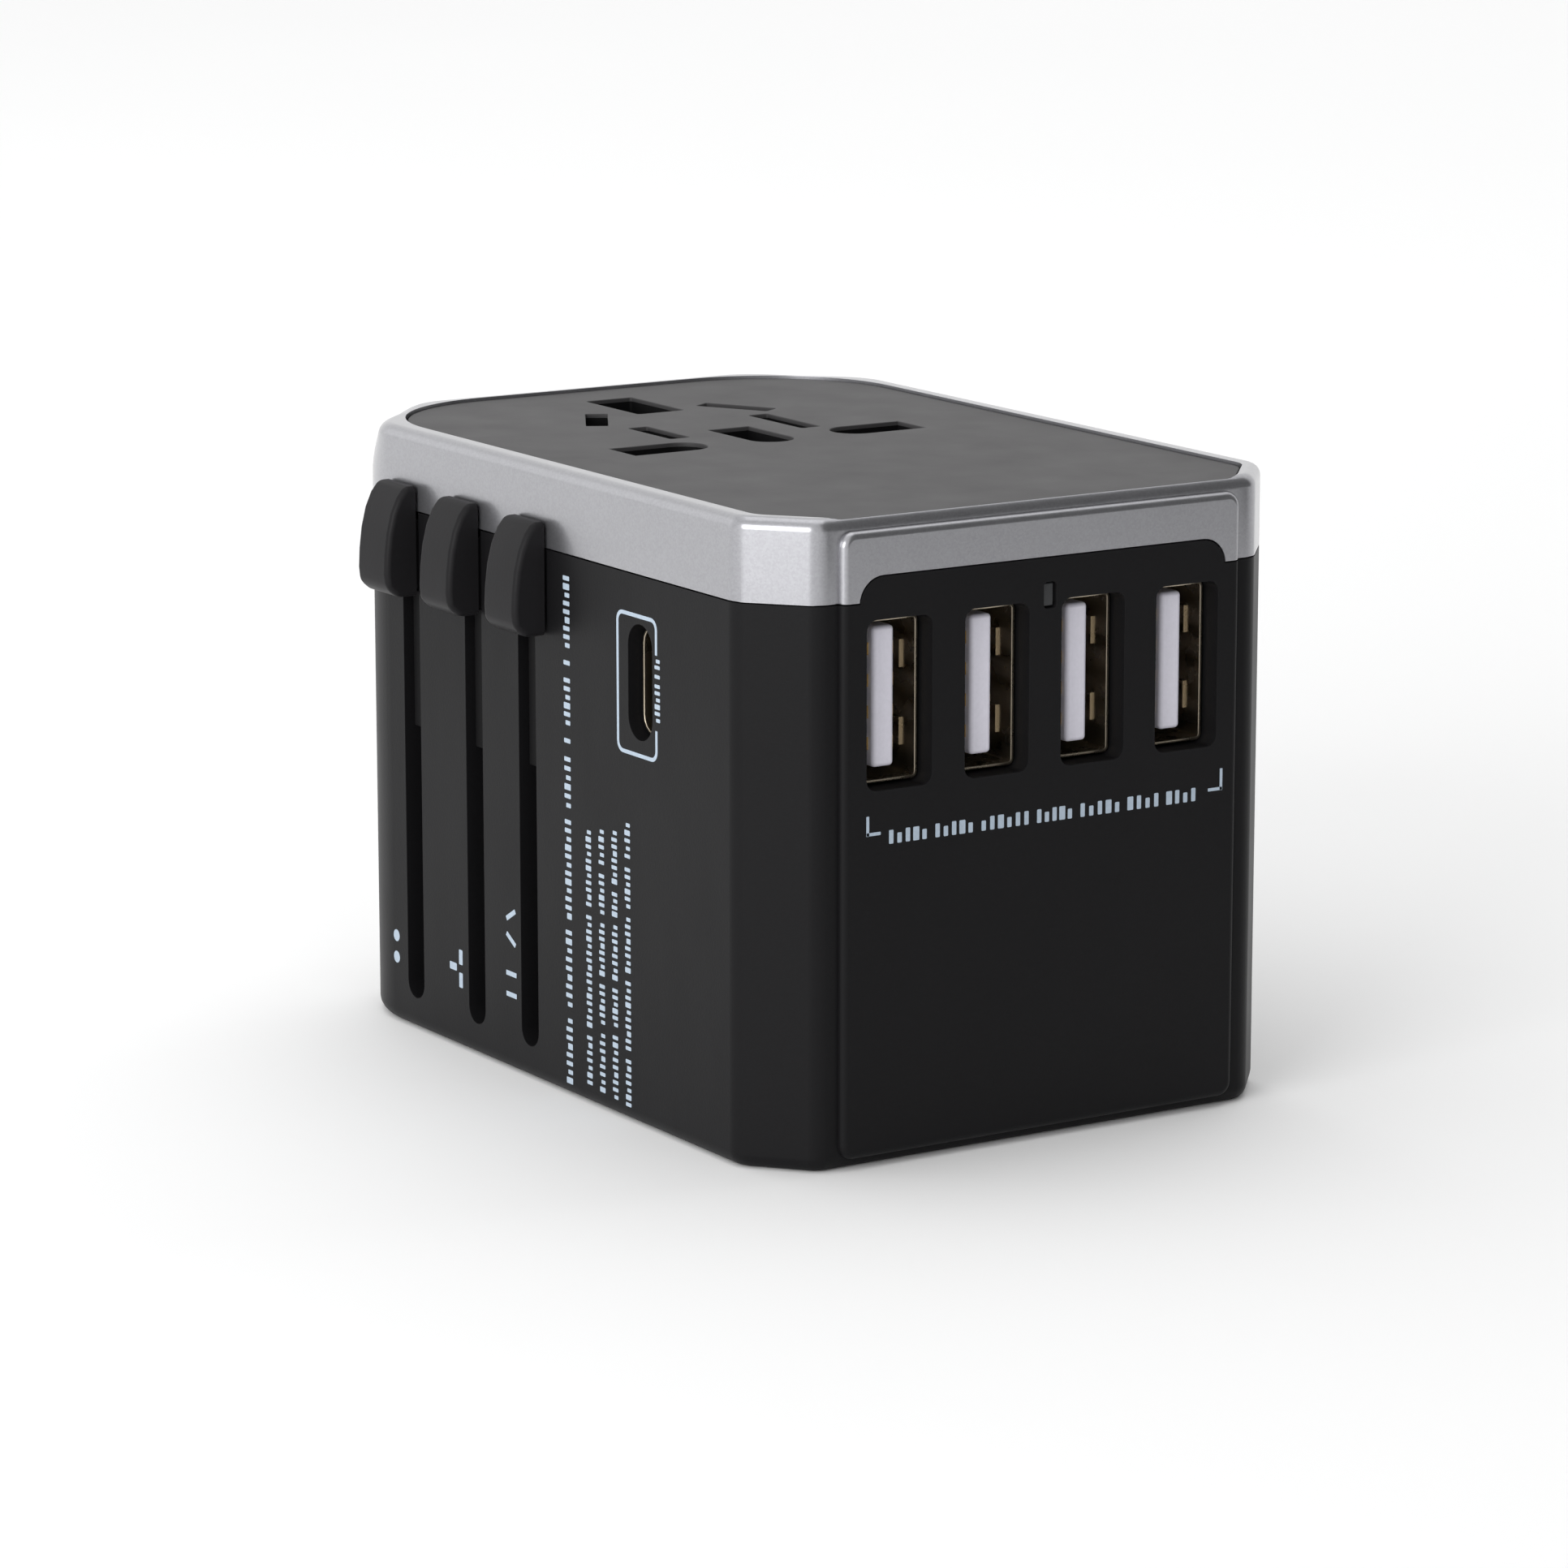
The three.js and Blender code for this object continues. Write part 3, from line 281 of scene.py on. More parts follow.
def moulded(name, base, grain=0.22 * MM, roughness=0.42, depth=0.012 * MM, shine=0.1):
    """Moulded plastic: a fine spark-eroded texture, faint flow marks and handling marks."""
    surface = Surface(name, specular_ior_level=shine)
    flow = surface.noise(14 * MM, 3.0)
    texture = surface.noise(grain, 2.0)
    smear = surface.noise(5 * MM, 4.0, (1.0, 1.0, 0.35))
    surface.feed("Base Color", surface.shades(base, 0.86, 1.16, 0.6 * flow + 0.4 * texture))
    surface.feed("Roughness", (roughness - 0.07) + 0.14 * smear)
    surface.bump(texture, depth, 0.6)
    return surface.material


def metallic_paint(name, base):
    """Silver paint on plastic: small flakes under a thin clear coat, and a faint orange peel."""
    surface = Surface(name, metallic=0.85, coat_weight=0.5, coat_roughness=0.09)
    flakes = surface.cells(0.16 * MM)
    cloud = surface.noise(9 * MM, 3.0)
    surface.feed("Base Color", surface.shades(base, 0.90, 1.10, 0.55 * flakes + 0.45 * cloud))
    surface.feed("Roughness", 0.26 + 0.08 * surface.noise(3 * MM, 3.0))
    surface.bump(surface.noise(0.9 * MM, 1.0), 0.004 * MM, 0.5)
    return surface.material


def plated(name, base, roughness=0.24, metallic=1.0):
    """Plated or bare sheet metal: drawing lines and a little tarnish."""
    surface = Surface(name, metallic=metallic)
    lines = surface.noise(0.12 * MM, 3.0, (0.05, 1.0, 1.0))
    tarnish = surface.noise(2.4 * MM, 4.0)
    surface.feed("Base Color", surface.shades(base, 0.70, 1.12, 0.35 * lines + 0.65 * tarnish))
    surface.feed("Roughness", (roughness - 0.06) + 0.16 * tarnish)
    surface.bump(lines, 0.003 * MM, 0.4)
    return surface.material


def printing_ink(name, base):
    """Screen-printed ink: slightly uneven cover."""
    surface = Surface(name)
    cover = surface.noise(0.3 * MM, 3.0)
    surface.feed("Base Color", surface.shades(base, 0.82, 1.08, cover))
    surface.feed("Roughness", 0.45 + 0.2 * cover)
    return surface.material


def circuit_board(name):
    """Green solder mask over copper tracks, on fibre weave."""
    surface = Surface(name, coat_weight=0.3)
    tracks = surface.node(
        "ShaderNodeTexBrick",
        {"offset": 0.35},
        {"Vector": surface.coordinates(), "Scale": 260.0, "Mortar Size": 0.05},
        1,
    )
    surface.feed("Base Color", surface.shades((0.015, 0.12, 0.05), 0.8, 1.9, tracks))
    surface.feed("Roughness", 0.3 + 0.2 * surface.noise(0.4 * MM))
    surface.bump(surface.noise(0.5 * MM, 1.0), 0.01 * MM, 0.4)
    return surface.material


def clear_acrylic(name):
    """Smoked acrylic of the light pipe."""
    surface = Surface(name, ior=1.49, coat_weight=0.1)
    haze = surface.noise(0.8 * MM, 3.0)
    surface.feed("Base Color", surface.shades((0.020, 0.021, 0.023), 0.8, 1.3, haze))
    surface.feed("Roughness", 0.28 + 0.1 * haze)
    return surface.material


def make_finishes():
    """One material for each finish, by the record's slot."""
    tint = colours()
    return {
        "black_plastic": moulded("satin_black", tint.black),
        "silver_paint": metallic_paint("silver_paint", tint.silver),
        "grey_plate": moulded("plate_grey", tint.plate, 0.16 * MM, 0.55, 0.014 * MM, 0.3),
        "knob_plastic": moulded("knob_black", tint.knob, 0.3 * MM, 0.42, 0.01 * MM),
        "inner_plastic": moulded("inner_black", tuple(0.6 * c for c in tint.black), 0.4 * MM, 0.6),
        "white_nylon": moulded("tongue_white", tint.tongue, 0.3 * MM, 0.38, 0.006 * MM, 0.5),
        "shell_steel": plated("tinned_shell", tint.shell, 0.26),
        "screw_steel": plated("zinc_steel", (0.48, 0.48, 0.50), 0.3),
        "contact_brass": plated("stamped_brass", tint.brass, 0.28),
        "nickel_pin": plated("nickel_plate", tint.nickel, 0.2),
        "circuit_board": circuit_board("solder_mask"),
        "light_pipe": clear_acrylic("smoked_acrylic"),
        "winding": moulded("winding_tape", (0.62, 0.36, 0.03), 0.6 * MM, 0.35, 0.02 * MM),
        "capacitor_sleeve": moulded("shrink_sleeve", (0.012, 0.025, 0.08), 0.8 * MM, 0.28, 0.01 * MM),
        "ink": printing_ink("pale_ink", tint.ink),
        "gold": plated("gold_finger", tint.gold, 0.22),
    }


# ---- Mesh helpers --------------------------------------------------------------------------------------

FINISHES = {}
FLAT_ANGLE = math.radians(0.05)
# Turn a shape drawn in the XY plane and raised along Z so that it is drawn on a wall and raised outwards.
TO_PORT_END = Matrix(((0, 0, 1, 0), (1, 0, 0, 0), (0, 1, 0, 0), (0, 0, 0, 1)))
TO_SLIDER_SIDE = Matrix(((1, 0, 0, 0), (0, 0, -1, 0), (0, 1, 0, 0), (0, 0, 0, 1)))


def verts_of(result):
    return [item for item in result["geom"] if isinstance(item, bmesh.types.BMVert)]


def round_corners(bm, corners, radius, steps):
    """Rounds the corners of a flat face."""
    if radius <= 0 or not corners:
        return
    bmesh.ops.bevel(
        bm, geom=corners, offset=radius, offset_type="OFFSET", segments=steps, profile=0.5,
        affect="VERTICES", material=-1, clamp_overlap=True,
    )


def soften(bm, edges, width, steps=2):
    """Rounds the given edges."""
    if width <= 0 or not edges:
        return
    bmesh.ops.bevel(
        bm, geom=edges, offset=width, offset_type="OFFSET", segments=steps, profile=0.5,
        affect="EDGES", material=-1, clamp_overlap=True,
    )


def sharp_edges(bm, test, angle=math.radians(35)):
    """Edges between two faces that meet at more than the angle and pass the test."""
    return [e for e in bm.edges if e.is_manifold and e.calc_face_angle(0.0) > angle and test(e)]


X, Y, Z = range(3)


def lies_at(edge, axis, place):
    """True for an edge whose ends are both at the place along the axis."""
    return all(abs(v.co[axis] - place) < TOUCH for v in edge.verts)


def edges_at_height(bm, z):
    return [e for e in bm.edges if lies_at(e, Z, z)]


def raise_face(bm, height):
    """Extrudes the flat faces of bm along +Z, and closes the solid."""
    raised = bmesh.ops.extrude_face_region(bm, geom=bm.faces[:])
    bmesh.ops.translate(bm, verts=verts_of(raised), vec=(0, 0, height))
    bmesh.ops.recalc_face_normals(bm, faces=bm.faces[:])


def slab(width, depth, radius, height, steps=5):
    """A flat block centred on Z, from z = 0 up, with round upright corners."""
    bm = bmesh.new()
    bmesh.ops.create_grid(bm, x_segments=1, y_segments=1, size=0.5)
    bmesh.ops.scale(bm, vec=(width, depth, 1), verts=bm.verts[:])
    round_corners(bm, bm.verts[:], min(radius, 0.499 * width, 0.499 * depth), steps)
    raise_face(bm, height)
    return bm


def polygon(points, height):
    """A prism over a few corners, from z = 0 up."""
    bm = bmesh.new()
    bm.faces.new([bm.verts.new((x, y, 0)) for x, y in points])
    raise_face(bm, height)
    return bm


def disc(radius, height, steps=32):
    bm = bmesh.new()
    bmesh.ops.create_circle(bm, cap_ends=True, radius=radius, segments=steps)
    raise_face(bm, height)
    return bm


def moved(bm, matrix):
    bmesh.ops.transform(bm, matrix=matrix, verts=bm.verts[:])
    if matrix.determinant() < 0:
        bmesh.ops.reverse_faces(bm, faces=bm.faces[:])
    return bm


def gather(*meshes):
    """One bmesh that holds all the given ones."""
    whole = bmesh.new()
    for bm in meshes:
        mesh = bpy.data.meshes.new("part")
        bm.to_mesh(mesh)
        bm.free()
        whole.from_mesh(mesh)
        bpy.data.meshes.remove(mesh)
    return whole


def as_object(bm, name="tool"):
    mesh = bpy.data.meshes.new(name)
    bm.to_mesh(mesh)
    bm.free()
    made = bpy.data.objects.new(name, mesh)
    bpy.context.scene.collection.objects.link(made)
    return made


def combine(base, tool, operation):
    """Joins, cuts or trims one bmesh with another. Both are used up."""
    first, second = as_object(base), as_object(tool)
    modifier = first.modifiers.new("combine", "BOOLEAN")
    modifier.operation = operation
    modifier.solver = "EXACT"
    modifier.object = second
    bpy.context.view_layer.update()
    seen = first.evaluated_get(bpy.context.evaluated_depsgraph_get())
    made = bmesh.new()
    made.from_mesh(seen.to_mesh())
    seen.to_mesh_clear()
    for used in (first, second):
        mesh = used.data
        bpy.data.objects.remove(used)
        bpy.data.meshes.remove(mesh)
    bmesh.ops.remove_doubles(made, verts=made.verts[:], dist=0.002 * MM)
    bmesh.ops.dissolve_limit(
        made, angle_limit=FLAT_ANGLE, use_dissolve_boundaries=False, verts=made.verts[:], edges=made.edges[:]
    )
    return made


def join(base, *tools):
    for tool in tools:
        base = combine(base, tool, "UNION")
    return base


def cut(base, *tools):
    return combine(base, gather(*tools), "DIFFERENCE")


def trim(base, tool):
    return combine(base, tool, "INTERSECT")


def box_mesh(low, high):
    bm = bmesh.new()
    bmesh.ops.create_cube(bm, size=1.0)
    low, high = Vector(low), Vector(high)
    bmesh.ops.scale(bm, vec=high - low, verts=bm.verts[:])
    bmesh.ops.translate(bm, vec=(low + high) / 2, verts=bm.verts[:])
    return bm


def piece(name, bm, finish, body="root", slot=None, replaces=(), smooth=30):
    """Makes a finished piece from a bmesh, riding on a body."""
    made = as_object(bm, name)
    made.data.materials.append(FINISHES[finish])
    made.data.polygons.foreach_set("use_smooth", [True] * len(made.data.polygons))
    made.data.set_sharp_from_angle(angle=math.radians(smooth))
    made.modifiers.new("weighted", "WEIGHTED_NORMAL").keep_sharp = True
    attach(made, body)
    slot or finish in [m["slot"] for m in frame["record"]["materials"]]
    if replaces:
        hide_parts(*replaces)
    return made


def merged_copy(node):
    """The CAD node's own shape as a clean bmesh with flat faces joined."""
    bm = bmesh.new()
    bm.from_mesh(frame["nodes"][node].data)
    bmesh.ops.remove_doubles(bm, verts=bm.verts[:], dist=0.001 * MM)
    bmesh.ops.dissolve_limit(
        bm, angle_limit=FLAT_ANGLE, use_dissolve_boundaries=False, verts=bm.verts[:], edges=bm.edges[:]
    )
    return bm


def body_of_node(node):
    return next(b for b, members in frame["record"]["behaviour"]["bodies"].items() if node in members)


def slot_of_node(node):
    return next(s["material_slot"] for s in frame["record"]["subparts"] if s["node"] == node)


def softened_copy(node, width, name=None, steps=2):
    """A finished piece in the CAD node's shape, with its sharp edges rounded."""
    bm = merged_copy(node)
    soften(bm, sharp_edges(bm, lambda e: True), width, steps)
    made = name or node + "_finished"
    return piece(made, bm, slot_of_node(node), body_of_node(node), replaces=[node])


# ---- Plan of the body ----------------------------------------------------------------------------------


def body_box():
    """Lowest and highest corner of the body without the raised panel."""
    low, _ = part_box("housing")
    _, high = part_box("bezel")
    return low, high - Vector((body_sizes().panel_proud, 0, 0))


def plan_prism(left, right, side, corner, z0, z1, steps=20, radius=None):
    """The body's plan, moved in by the given insets, from z0 up to z1."""
    sizes = body_sizes()
    low, high = body_box()
    x0, x1, y1 = low.x + left, high.x - right, high.y - side
    slope = math.hypot(sizes.cut_x, sizes.cut_y)
    nx, ny = sizes.cut_y / slope, sizes.cut_x / slope
    reach = nx * (high.x - sizes.cut_x) + ny * high.y - corner
    cut_x = (reach - ny * y1) / nx
    cut_y = (reach - nx * x1) / ny
    bm = bmesh.new()
    outline = [(x0, -y1), (cut_x, -y1), (x1, -cut_y), (x1, cut_y), (cut_x, y1), (x0, y1)]
    corners = [bm.verts.new((x, y, 0)) for x, y in outline]
    bm.faces.new(corners)
    round_corners(bm, [corners[0], corners[5]], radius or sizes.end_radius - (left + side) / 2, steps)
    straight = [v for v in bm.verts if v.co.x > cut_x - sizes.wall]
    round_corners(bm, straight, sizes.cut_round, 4)
    raise_face(bm, z1 - z0)
    return moved(bm, Matrix.Translation((0, 0, z0)))


def even_plan(inset, z0, z1, steps=20):
    return plan_prism(inset, inset, inset, inset, z0, z1, steps)


def lean_corners(bm):
    """Leans the two round corners of a body prism inwards towards the top."""
    sizes = body_sizes()
    low, high = body_box()
    start = high.z - sizes.lean_height
    levels = 6
    step = (sizes.lean_height - sizes.rim_round) / levels
    for level in range(levels):
        bmesh.ops.bisect_plane(
            bm, geom=bm.verts[:] + bm.edges[:] + bm.faces[:], dist=1e-7,
            plane_co=(0, 0, start + level * step), plane_no=(0, 0, 1),
        )
    for vert in bm.verts:
        rise = (vert.co.z - start) / sizes.lean_height
        centre_y = math.copysign(high.y - sizes.end_radius, vert.co.y)
        arm = vert.co - Vector((low.x + sizes.end_radius, centre_y, vert.co.z))
        if rise <= 0 or arm.x > 0 or arm.y * vert.co.y < 0 or arm.length < 1 * MM:
            continue
        share = math.sin(2 * math.atan2(abs(arm.y), -arm.x)) ** 2
        vert.co -= arm.normalized() * sizes.lean * rise * rise * share


def raised_panel():
    """The whole raised panel of the port end, with its rounded edge."""
    sizes = body_sizes()
    _, high = body_box()
    z0, z1 = sizes.panel_bottom, high.z - sizes.panel_drop
    thickness = sizes.wall / 2 + sizes.panel_proud
    bm = slab(2 * sizes.panel_half, z1 - z0, sizes.panel_corner, thickness, 6)
    soften(bm, edges_at_height(bm, thickness), sizes.panel_round, 5)
    return moved(bm, Matrix.Translation((high.x - sizes.wall / 2, 0, (z0 + z1) / 2)) @ TO_PORT_END)


def panel_rise(grow):
    """The part of the port end where the black panel stands up into the bezel."""
    sizes = body_sizes()
    _, high = body_box()
    z1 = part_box("housing")[1].z + grow
    height = 4 * sizes.rise_radius
    bm = slab(2 * (sizes.rise_half + grow), height, sizes.rise_radius, 3 * sizes.wall, 8)
    place = Matrix.Translation((high.x - sizes.wall - grow, 0, z1 - height / 2))
    return moved(bm, place @ TO_PORT_END)


def sleeve_top():
    """Height of the joint line between the sleeve and the bezel."""
    sizes = body_sizes()
    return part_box("bezel")[1].z - sizes.band - sizes.seam


# ---- Sleeve --------------------------------------------------------------------------------------------


def wall_slab(width, height, radius, x, z, depth=8 * MM, steps=6):
    """A cutter through the slider side's wall, centred at x and z."""
    low, _ = body_box()
    bm = slab(width, height, radius, depth, steps)
    return moved(bm, Matrix.Translation((x, low.y + depth / 2, z)) @ TO_SLIDER_SIDE)


def end_slab(width, height, radius, y, z, depth=8 * MM, steps=6):
    """A cutter through the port end's wall, centred at y and z."""
    _, high = body_box()
    bm = slab(width, height, radius, depth, steps)
    return moved(bm, Matrix.Translation((high.x - depth / 2, y, z)) @ TO_PORT_END)


def middle(node):
    low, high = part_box(node)
    return (low + high) / 2


def slider_columns():
    """The X place of each slider's slot, from the rib that runs in it."""
    return {name: slot_x(name) for name in ("eu", "uk", "us")}


def slot_x(name):
    """Centre of a slot: the middle of the carriage vertices that stand out to the slider side."""
    mesh = frame["nodes"][name + "_carriage"].data
    front = min(v.co.y for v in mesh.vertices)
    across = [v.co.x for v in mesh.vertices if v.co.y < front + TOUCH]
    return (min(across) + max(across)) / 2


def port_numbers():
    return range(1, 5)


def sleeve_cutters():
    ports = port_sizes()
    top = sleeve_top()
    cutters = []
    for x in slider_columns().values():
        height = 2 * (top - ports.slot_bottom)
        centre_z = ports.slot_bottom + height / 2
        cutters.append(wall_slab(ports.slot_width, height, ports.slot_width / 2, x, centre_z))
    for number in port_numbers():
        centre = middle(f"usb_a_shell_{number}")
        cutters.append(
            end_slab(ports.window_width, ports.window_height, ports.window_radius, centre.y, centre.z)
        )
    small = middle("usb_c_shell")
    cutters.append(
        wall_slab(ports.oval_width, ports.oval_height, ports.oval_width / 2, small.x, small.z, 6 * MM, 8)
    )
    low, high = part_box("led_light_pipe")
    gap = 0.1 * MM
    pipe = middle("led_light_pipe")
    cutters.append(
        end_slab(high.y - low.y + 2 * gap, high.z - low.z + 2 * gap, 0.3 * MM, pipe.y, pipe.z)
    )
    return cutters


def on_outer_wall(edge):
    """True for an edge that lies in the outer face of the slider side or of the port end."""
    low, _ = body_box()
    face_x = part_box("housing")[1].x
    return lies_at(edge, Y, low.y) or lies_at(edge, X, face_x)


class ADAPTER_OT_sleeve(bpy.types.Operator):
    """Builds the black sleeve with its slots, port windows and raised panel."""

    bl_idname = "adapter.sleeve"
    bl_label = "Sleeve"

    def execute(self, context):
        sizes = body_sizes()
        low, high = body_box()
        top = sleeve_top()
        outside = even_plan(0, low.z, high.z + 5 * MM)
        soften(outside, edges_at_height(outside, low.z), sizes.base_round, 5)
        outside = join(outside, raised_panel())
        black = join(box_mesh((-1, -1, -1), (1, 1, top)), panel_rise(0))
        shell = trim(outside, black)
        shell = cut(shell, even_plan(sizes.wall, low.z - 1 * MM, high.z + 9 * MM, 16))
        shell = cut(shell, *sleeve_cutters())
        soften(shell, sharp_edges(shell, on_outer_wall), sizes.edge_break, 3)
        piece("case_sleeve", shell, "black_plastic", replaces=["housing"])
        return {"FINISHED"}


# ---- Bezel and socket plate ----------------------------------------------------------------------------


class ADAPTER_OT_bezel(bpy.types.Operator):
    """Builds the silver bezel that clasps the socket plate."""

    bl_idname = "adapter.bezel"
    bl_label = "Bezel"

    def execute(self, context):
        sizes = body_sizes()
        _, high = body_box()
        bottom = sleeve_top() + sizes.seam
        outside = even_plan(0, bottom - 5 * MM, high.z)
        soften(outside, edges_at_height(outside, high.z), sizes.rim_round, 6)
        lean_corners(outside)
        outside = join(outside, raised_panel())
        ring = trim(outside, box_mesh((-1, -1, bottom), (1, 1, 1)))
        plate_low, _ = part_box("socket_plate")
        mouth = plan_prism(
            sizes.rim_left, sizes.rim_right, sizes.rim_side, sizes.rim_cut,
            plate_low.z - 0.3 * MM, high.z + 2 * MM, radius=sizes.plate_radius,
        )
        ring = cut(ring, mouth)
        ring = cut(ring, even_plan(sizes.ledge, bottom - 3 * MM, high.z + 3 * MM))
        ring = cut(ring, panel_rise(sizes.seam))
        lower = sharp_edges(ring, lambda e: self.is_lower_edge(e, bottom))
        soften(ring, lower, sizes.edge_break, 2)
        inner = sharp_edges(ring, lambda e: lies_at(e, Z, high.z))
        soften(ring, inner, 0.1 * MM, 2)
        piece("bezel_ring", ring, "silver_paint", replaces=["bezel"])
        return {"FINISHED"}

    @staticmethod
    def is_lower_edge(edge, bottom):
        """An edge along the bezel's lower outline, on the outside."""
        low, high = body_box()
        wall = body_sizes().wall
        near = 0.2 * MM
        outside = all(
            v.co.x > high.x - near or abs(v.co.y) > high.y - near or v.co.x < low.x + wall
            for v in edge.verts
        )
        return outside and lies_at(edge, Z, bottom)


def socket_cutters(z0, height):
    """Every opening of the universal socket, as cutters."""
    s = socket_sizes()
    line, core = -s.line_x, -s.core_y
    earth_x = line - (s.earth_far + s.earth_near) / 2
    bars = [(s.earth_far - s.earth_near, s.earth_width, 0.25 * MM, earth_x, core, 0)]
    for side in (-1, 1):
        flat = s.live_length if side < 0 else s.neutral_length
        bars.append((flat, s.flat_width, 0.2 * MM, line - s.flat_offset, core + side * s.flat_spread, 0))
        tilted_y = core + side * s.tilted_spread
        tilted = (s.tilted_length, s.flat_width, 0.2 * MM, line - s.tilted_offset, tilted_y, side * s.tilt)
        bars.append(tilted)
    cutters = []
    for width, depth, radius, x, y, turn in bars:
        place = Matrix.Translation((x, y, z0)) @ Matrix.Rotation(turn, 4, "Z")
        cutters.append(moved(slab(width, depth, radius, height, 3), place))
    for side in (-1, 1):
        cutters.append(mains_cutter(side, s.mains_width, z0, height))
    cutters.append(centre_cutter(z0, height))
    return cutters


def mains_cutter(side, width, z0, height):
    """A live or neutral opening, round at its inner end."""
    s = socket_sizes()
    depth = s.mains_outer - s.mains_inner
    bm = bmesh.new()
    bmesh.ops.create_grid(bm, x_segments=1, y_segments=1, size=0.5)
    bmesh.ops.scale(bm, vec=(width, depth, 1), verts=bm.verts[:])
    inner = [v for v in bm.verts if v.co.y < 0]
    round_corners(bm, inner, 0.499 * width, 8)
    raise_face(bm, height)
    flip = Matrix.Scale(side, 4, (0, 1, 0))
    middle_y = -s.core_y + side * (s.mains_outer + s.mains_inner) / 2
    return moved(bm, Matrix.Translation((-s.line_x, middle_y, z0)) @ flip)


def centre_cutter(z0, height):
    """The middle opening, round at the end by the line."""
    s = socket_sizes()
    width = s.centre_far + s.centre_near
    bm = bmesh.new()
    bmesh.ops.create_grid(bm, x_segments=1, y_segments=1, size=0.5)
    bmesh.ops.scale(bm, vec=(width, 2 * s.centre_half, 1), verts=bm.verts[:])
    round_corners(bm, [v for v in bm.verts if v.co.x > 0], 0.99 * s.centre_half, 8)
    raise_face(bm, height)
    middle_x = -s.line_x + (s.centre_near - s.centre_far) / 2
    return moved(bm, Matrix.Translation((middle_x, -s.core_y, z0)))


class ADAPTER_OT_socket_plate(bpy.types.Operator):
    """Builds the grey socket plate with the openings of the universal socket, black below its face to paint
    the shade in the openings.
    """

    bl_idname = "adapter.socket_plate"
    bl_label = "Socket plate"

    def execute(self, context):
        sizes = body_sizes()
        low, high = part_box("socket_plate")
        gap = 0.2 * MM
        plate = plan_prism(
            sizes.rim_left + gap, sizes.rim_right + gap, sizes.rim_side + gap, sizes.rim_cut + gap,
            low.z, high.z, radius=sizes.plate_radius - gap,
        )
        plate = cut(plate, *socket_cutters(low.z - 1 * MM, high.z - low.z + 2 * MM))
        top = sharp_edges(plate, lambda e: lies_at(e, Z, high.z))
        soften(plate, top, 0.16 * MM, 3)
        # The plate is one grey moulding; its part below the grey face is made black to paint the shade in
        # its openings.
        skin = high.z - sizes.plate_grey_depth
        below = trim(plate.copy(), box_mesh((-1, -1, -1), (1, 1, skin - TOUCH)))
        above = trim(plate, box_mesh((-1, -1, skin), (1, 1, 1)))
        piece("socket_face", above, "grey_plate", replaces=["socket_plate"])
        piece("socket_painted_shade", below, "inner_plastic", replaces=["socket_plate"])
        return {"FINISHED"}


# ---- Base ----------------------------------------------------------------------------------------------


class ADAPTER_OT_base(bpy.types.Operator):
    """Builds the base plate and the screws that hold it."""

    bl_idname = "adapter.base"
    bl_label = "Base"

    def execute(self, context):
        bm = merged_copy("base_plate")
        low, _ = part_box("base_plate")
        recess = slab(12 * MM, 26 * MM, 1.2 * MM, 0.3 * MM)
        bm = cut(bm, moved(recess, Matrix.Translation((22 * MM, 0, low.z - 0.1 * MM))))
        below = sharp_edges(bm, lambda e: all(v.co.z < low.z + TOUCH for v in e.verts))
        soften(bm, below, 0.18 * MM, 3)
        piece("base_cover", bm, "black_plastic", replaces=["base_plate"])
        for number in range(1, 5):
            softened_copy(f"screw_{number}", 0.08 * MM, f"base_screw_{number}")
        return {"FINISHED"}


# ---- Slider knobs --------------------------------------------------------------------------------------


def knob_profile(node):
    """The knob's side outline, as (distance out from the wall, height) pairs."""
    low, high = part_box(node)
    wall_y = body_box()[0].y
    reach = wall_y - low.y
    height = high.z - low.z
    back = 0.30 * MM
    foot = 0.1 * MM
    head = height - 0.5 * MM
    outline = [
        (back, foot),
        (reach - 1.15 * MM, foot),
        (reach - 0.12 * MM, 1.0 * MM),
        (reach, 2.2 * MM),
        (reach - 0.08 * MM, 3.8 * MM),
        (reach - 0.30 * MM, 5.6 * MM),
        (reach - 0.72 * MM, 7.3 * MM),
        (reach - 1.30 * MM, height - 1.4 * MM),
        (reach - 2.0 * MM, head),
        (back, head),
    ]
    return [(out, low.z + rise) for out, rise in outline]


class ADAPTER_OT_knobs(bpy.types.Operator):
    """Builds the three thumb knobs with their bowed fronts."""

    bl_idname = "adapter.knobs"
    bl_label = "Knobs"

    def execute(self, context):
        for name in ("eu", "uk", "us"):
            self.build(name)
        return {"FINISHED"}

    def build(self, name):
        node = name + "_knob"
        low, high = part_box(node)
        wall_y = body_box()[0].y
        bm = polygon(knob_profile(node), high.x - low.x)
        stand = Matrix(((0, 0, 1, 0), (-1, 0, 0, 0), (0, 1, 0, 0), (0, 0, 0, 1)))
        moved(bm, Matrix.Translation((low.x, wall_y, 0)) @ stand)
        bmesh.ops.recalc_face_normals(bm, faces=bm.faces[:])
        outer = sharp_edges(bm, lambda e: min(v.co.y for v in e.verts) < wall_y - 0.5 * MM)
        soften(bm, outer, port_sizes().knob_round, 5)
        column = slot_x(name)
        inset = 0.6 * MM
        boss = box_mesh(
            (column - 1 * MM, wall_y - inset, low.z + inset),
            (column + 1 * MM, wall_y + 1.7 * MM, sleeve_top() - inset),
        )
        piece(name + "_thumb_knob", join(bm, boss), "knob_plastic", name + "_plug", replaces=[node])


# ---- Large ports ---------------------------------------------------------------------------------------


def sheet_shell(width, height, radius, depth, sheet):
    """An open sheet box, closed at the back, with its mouth at z = depth."""
    bm = slab(width, height, radius, depth, 4)
    hollow = slab(width - 2 * sheet, height - 2 * sheet, max(radius - sheet, 0.15 * MM), depth, 4)
    moved(hollow, Matrix.Translation((0, 0, sheet)))
    return cut(bm, hollow)


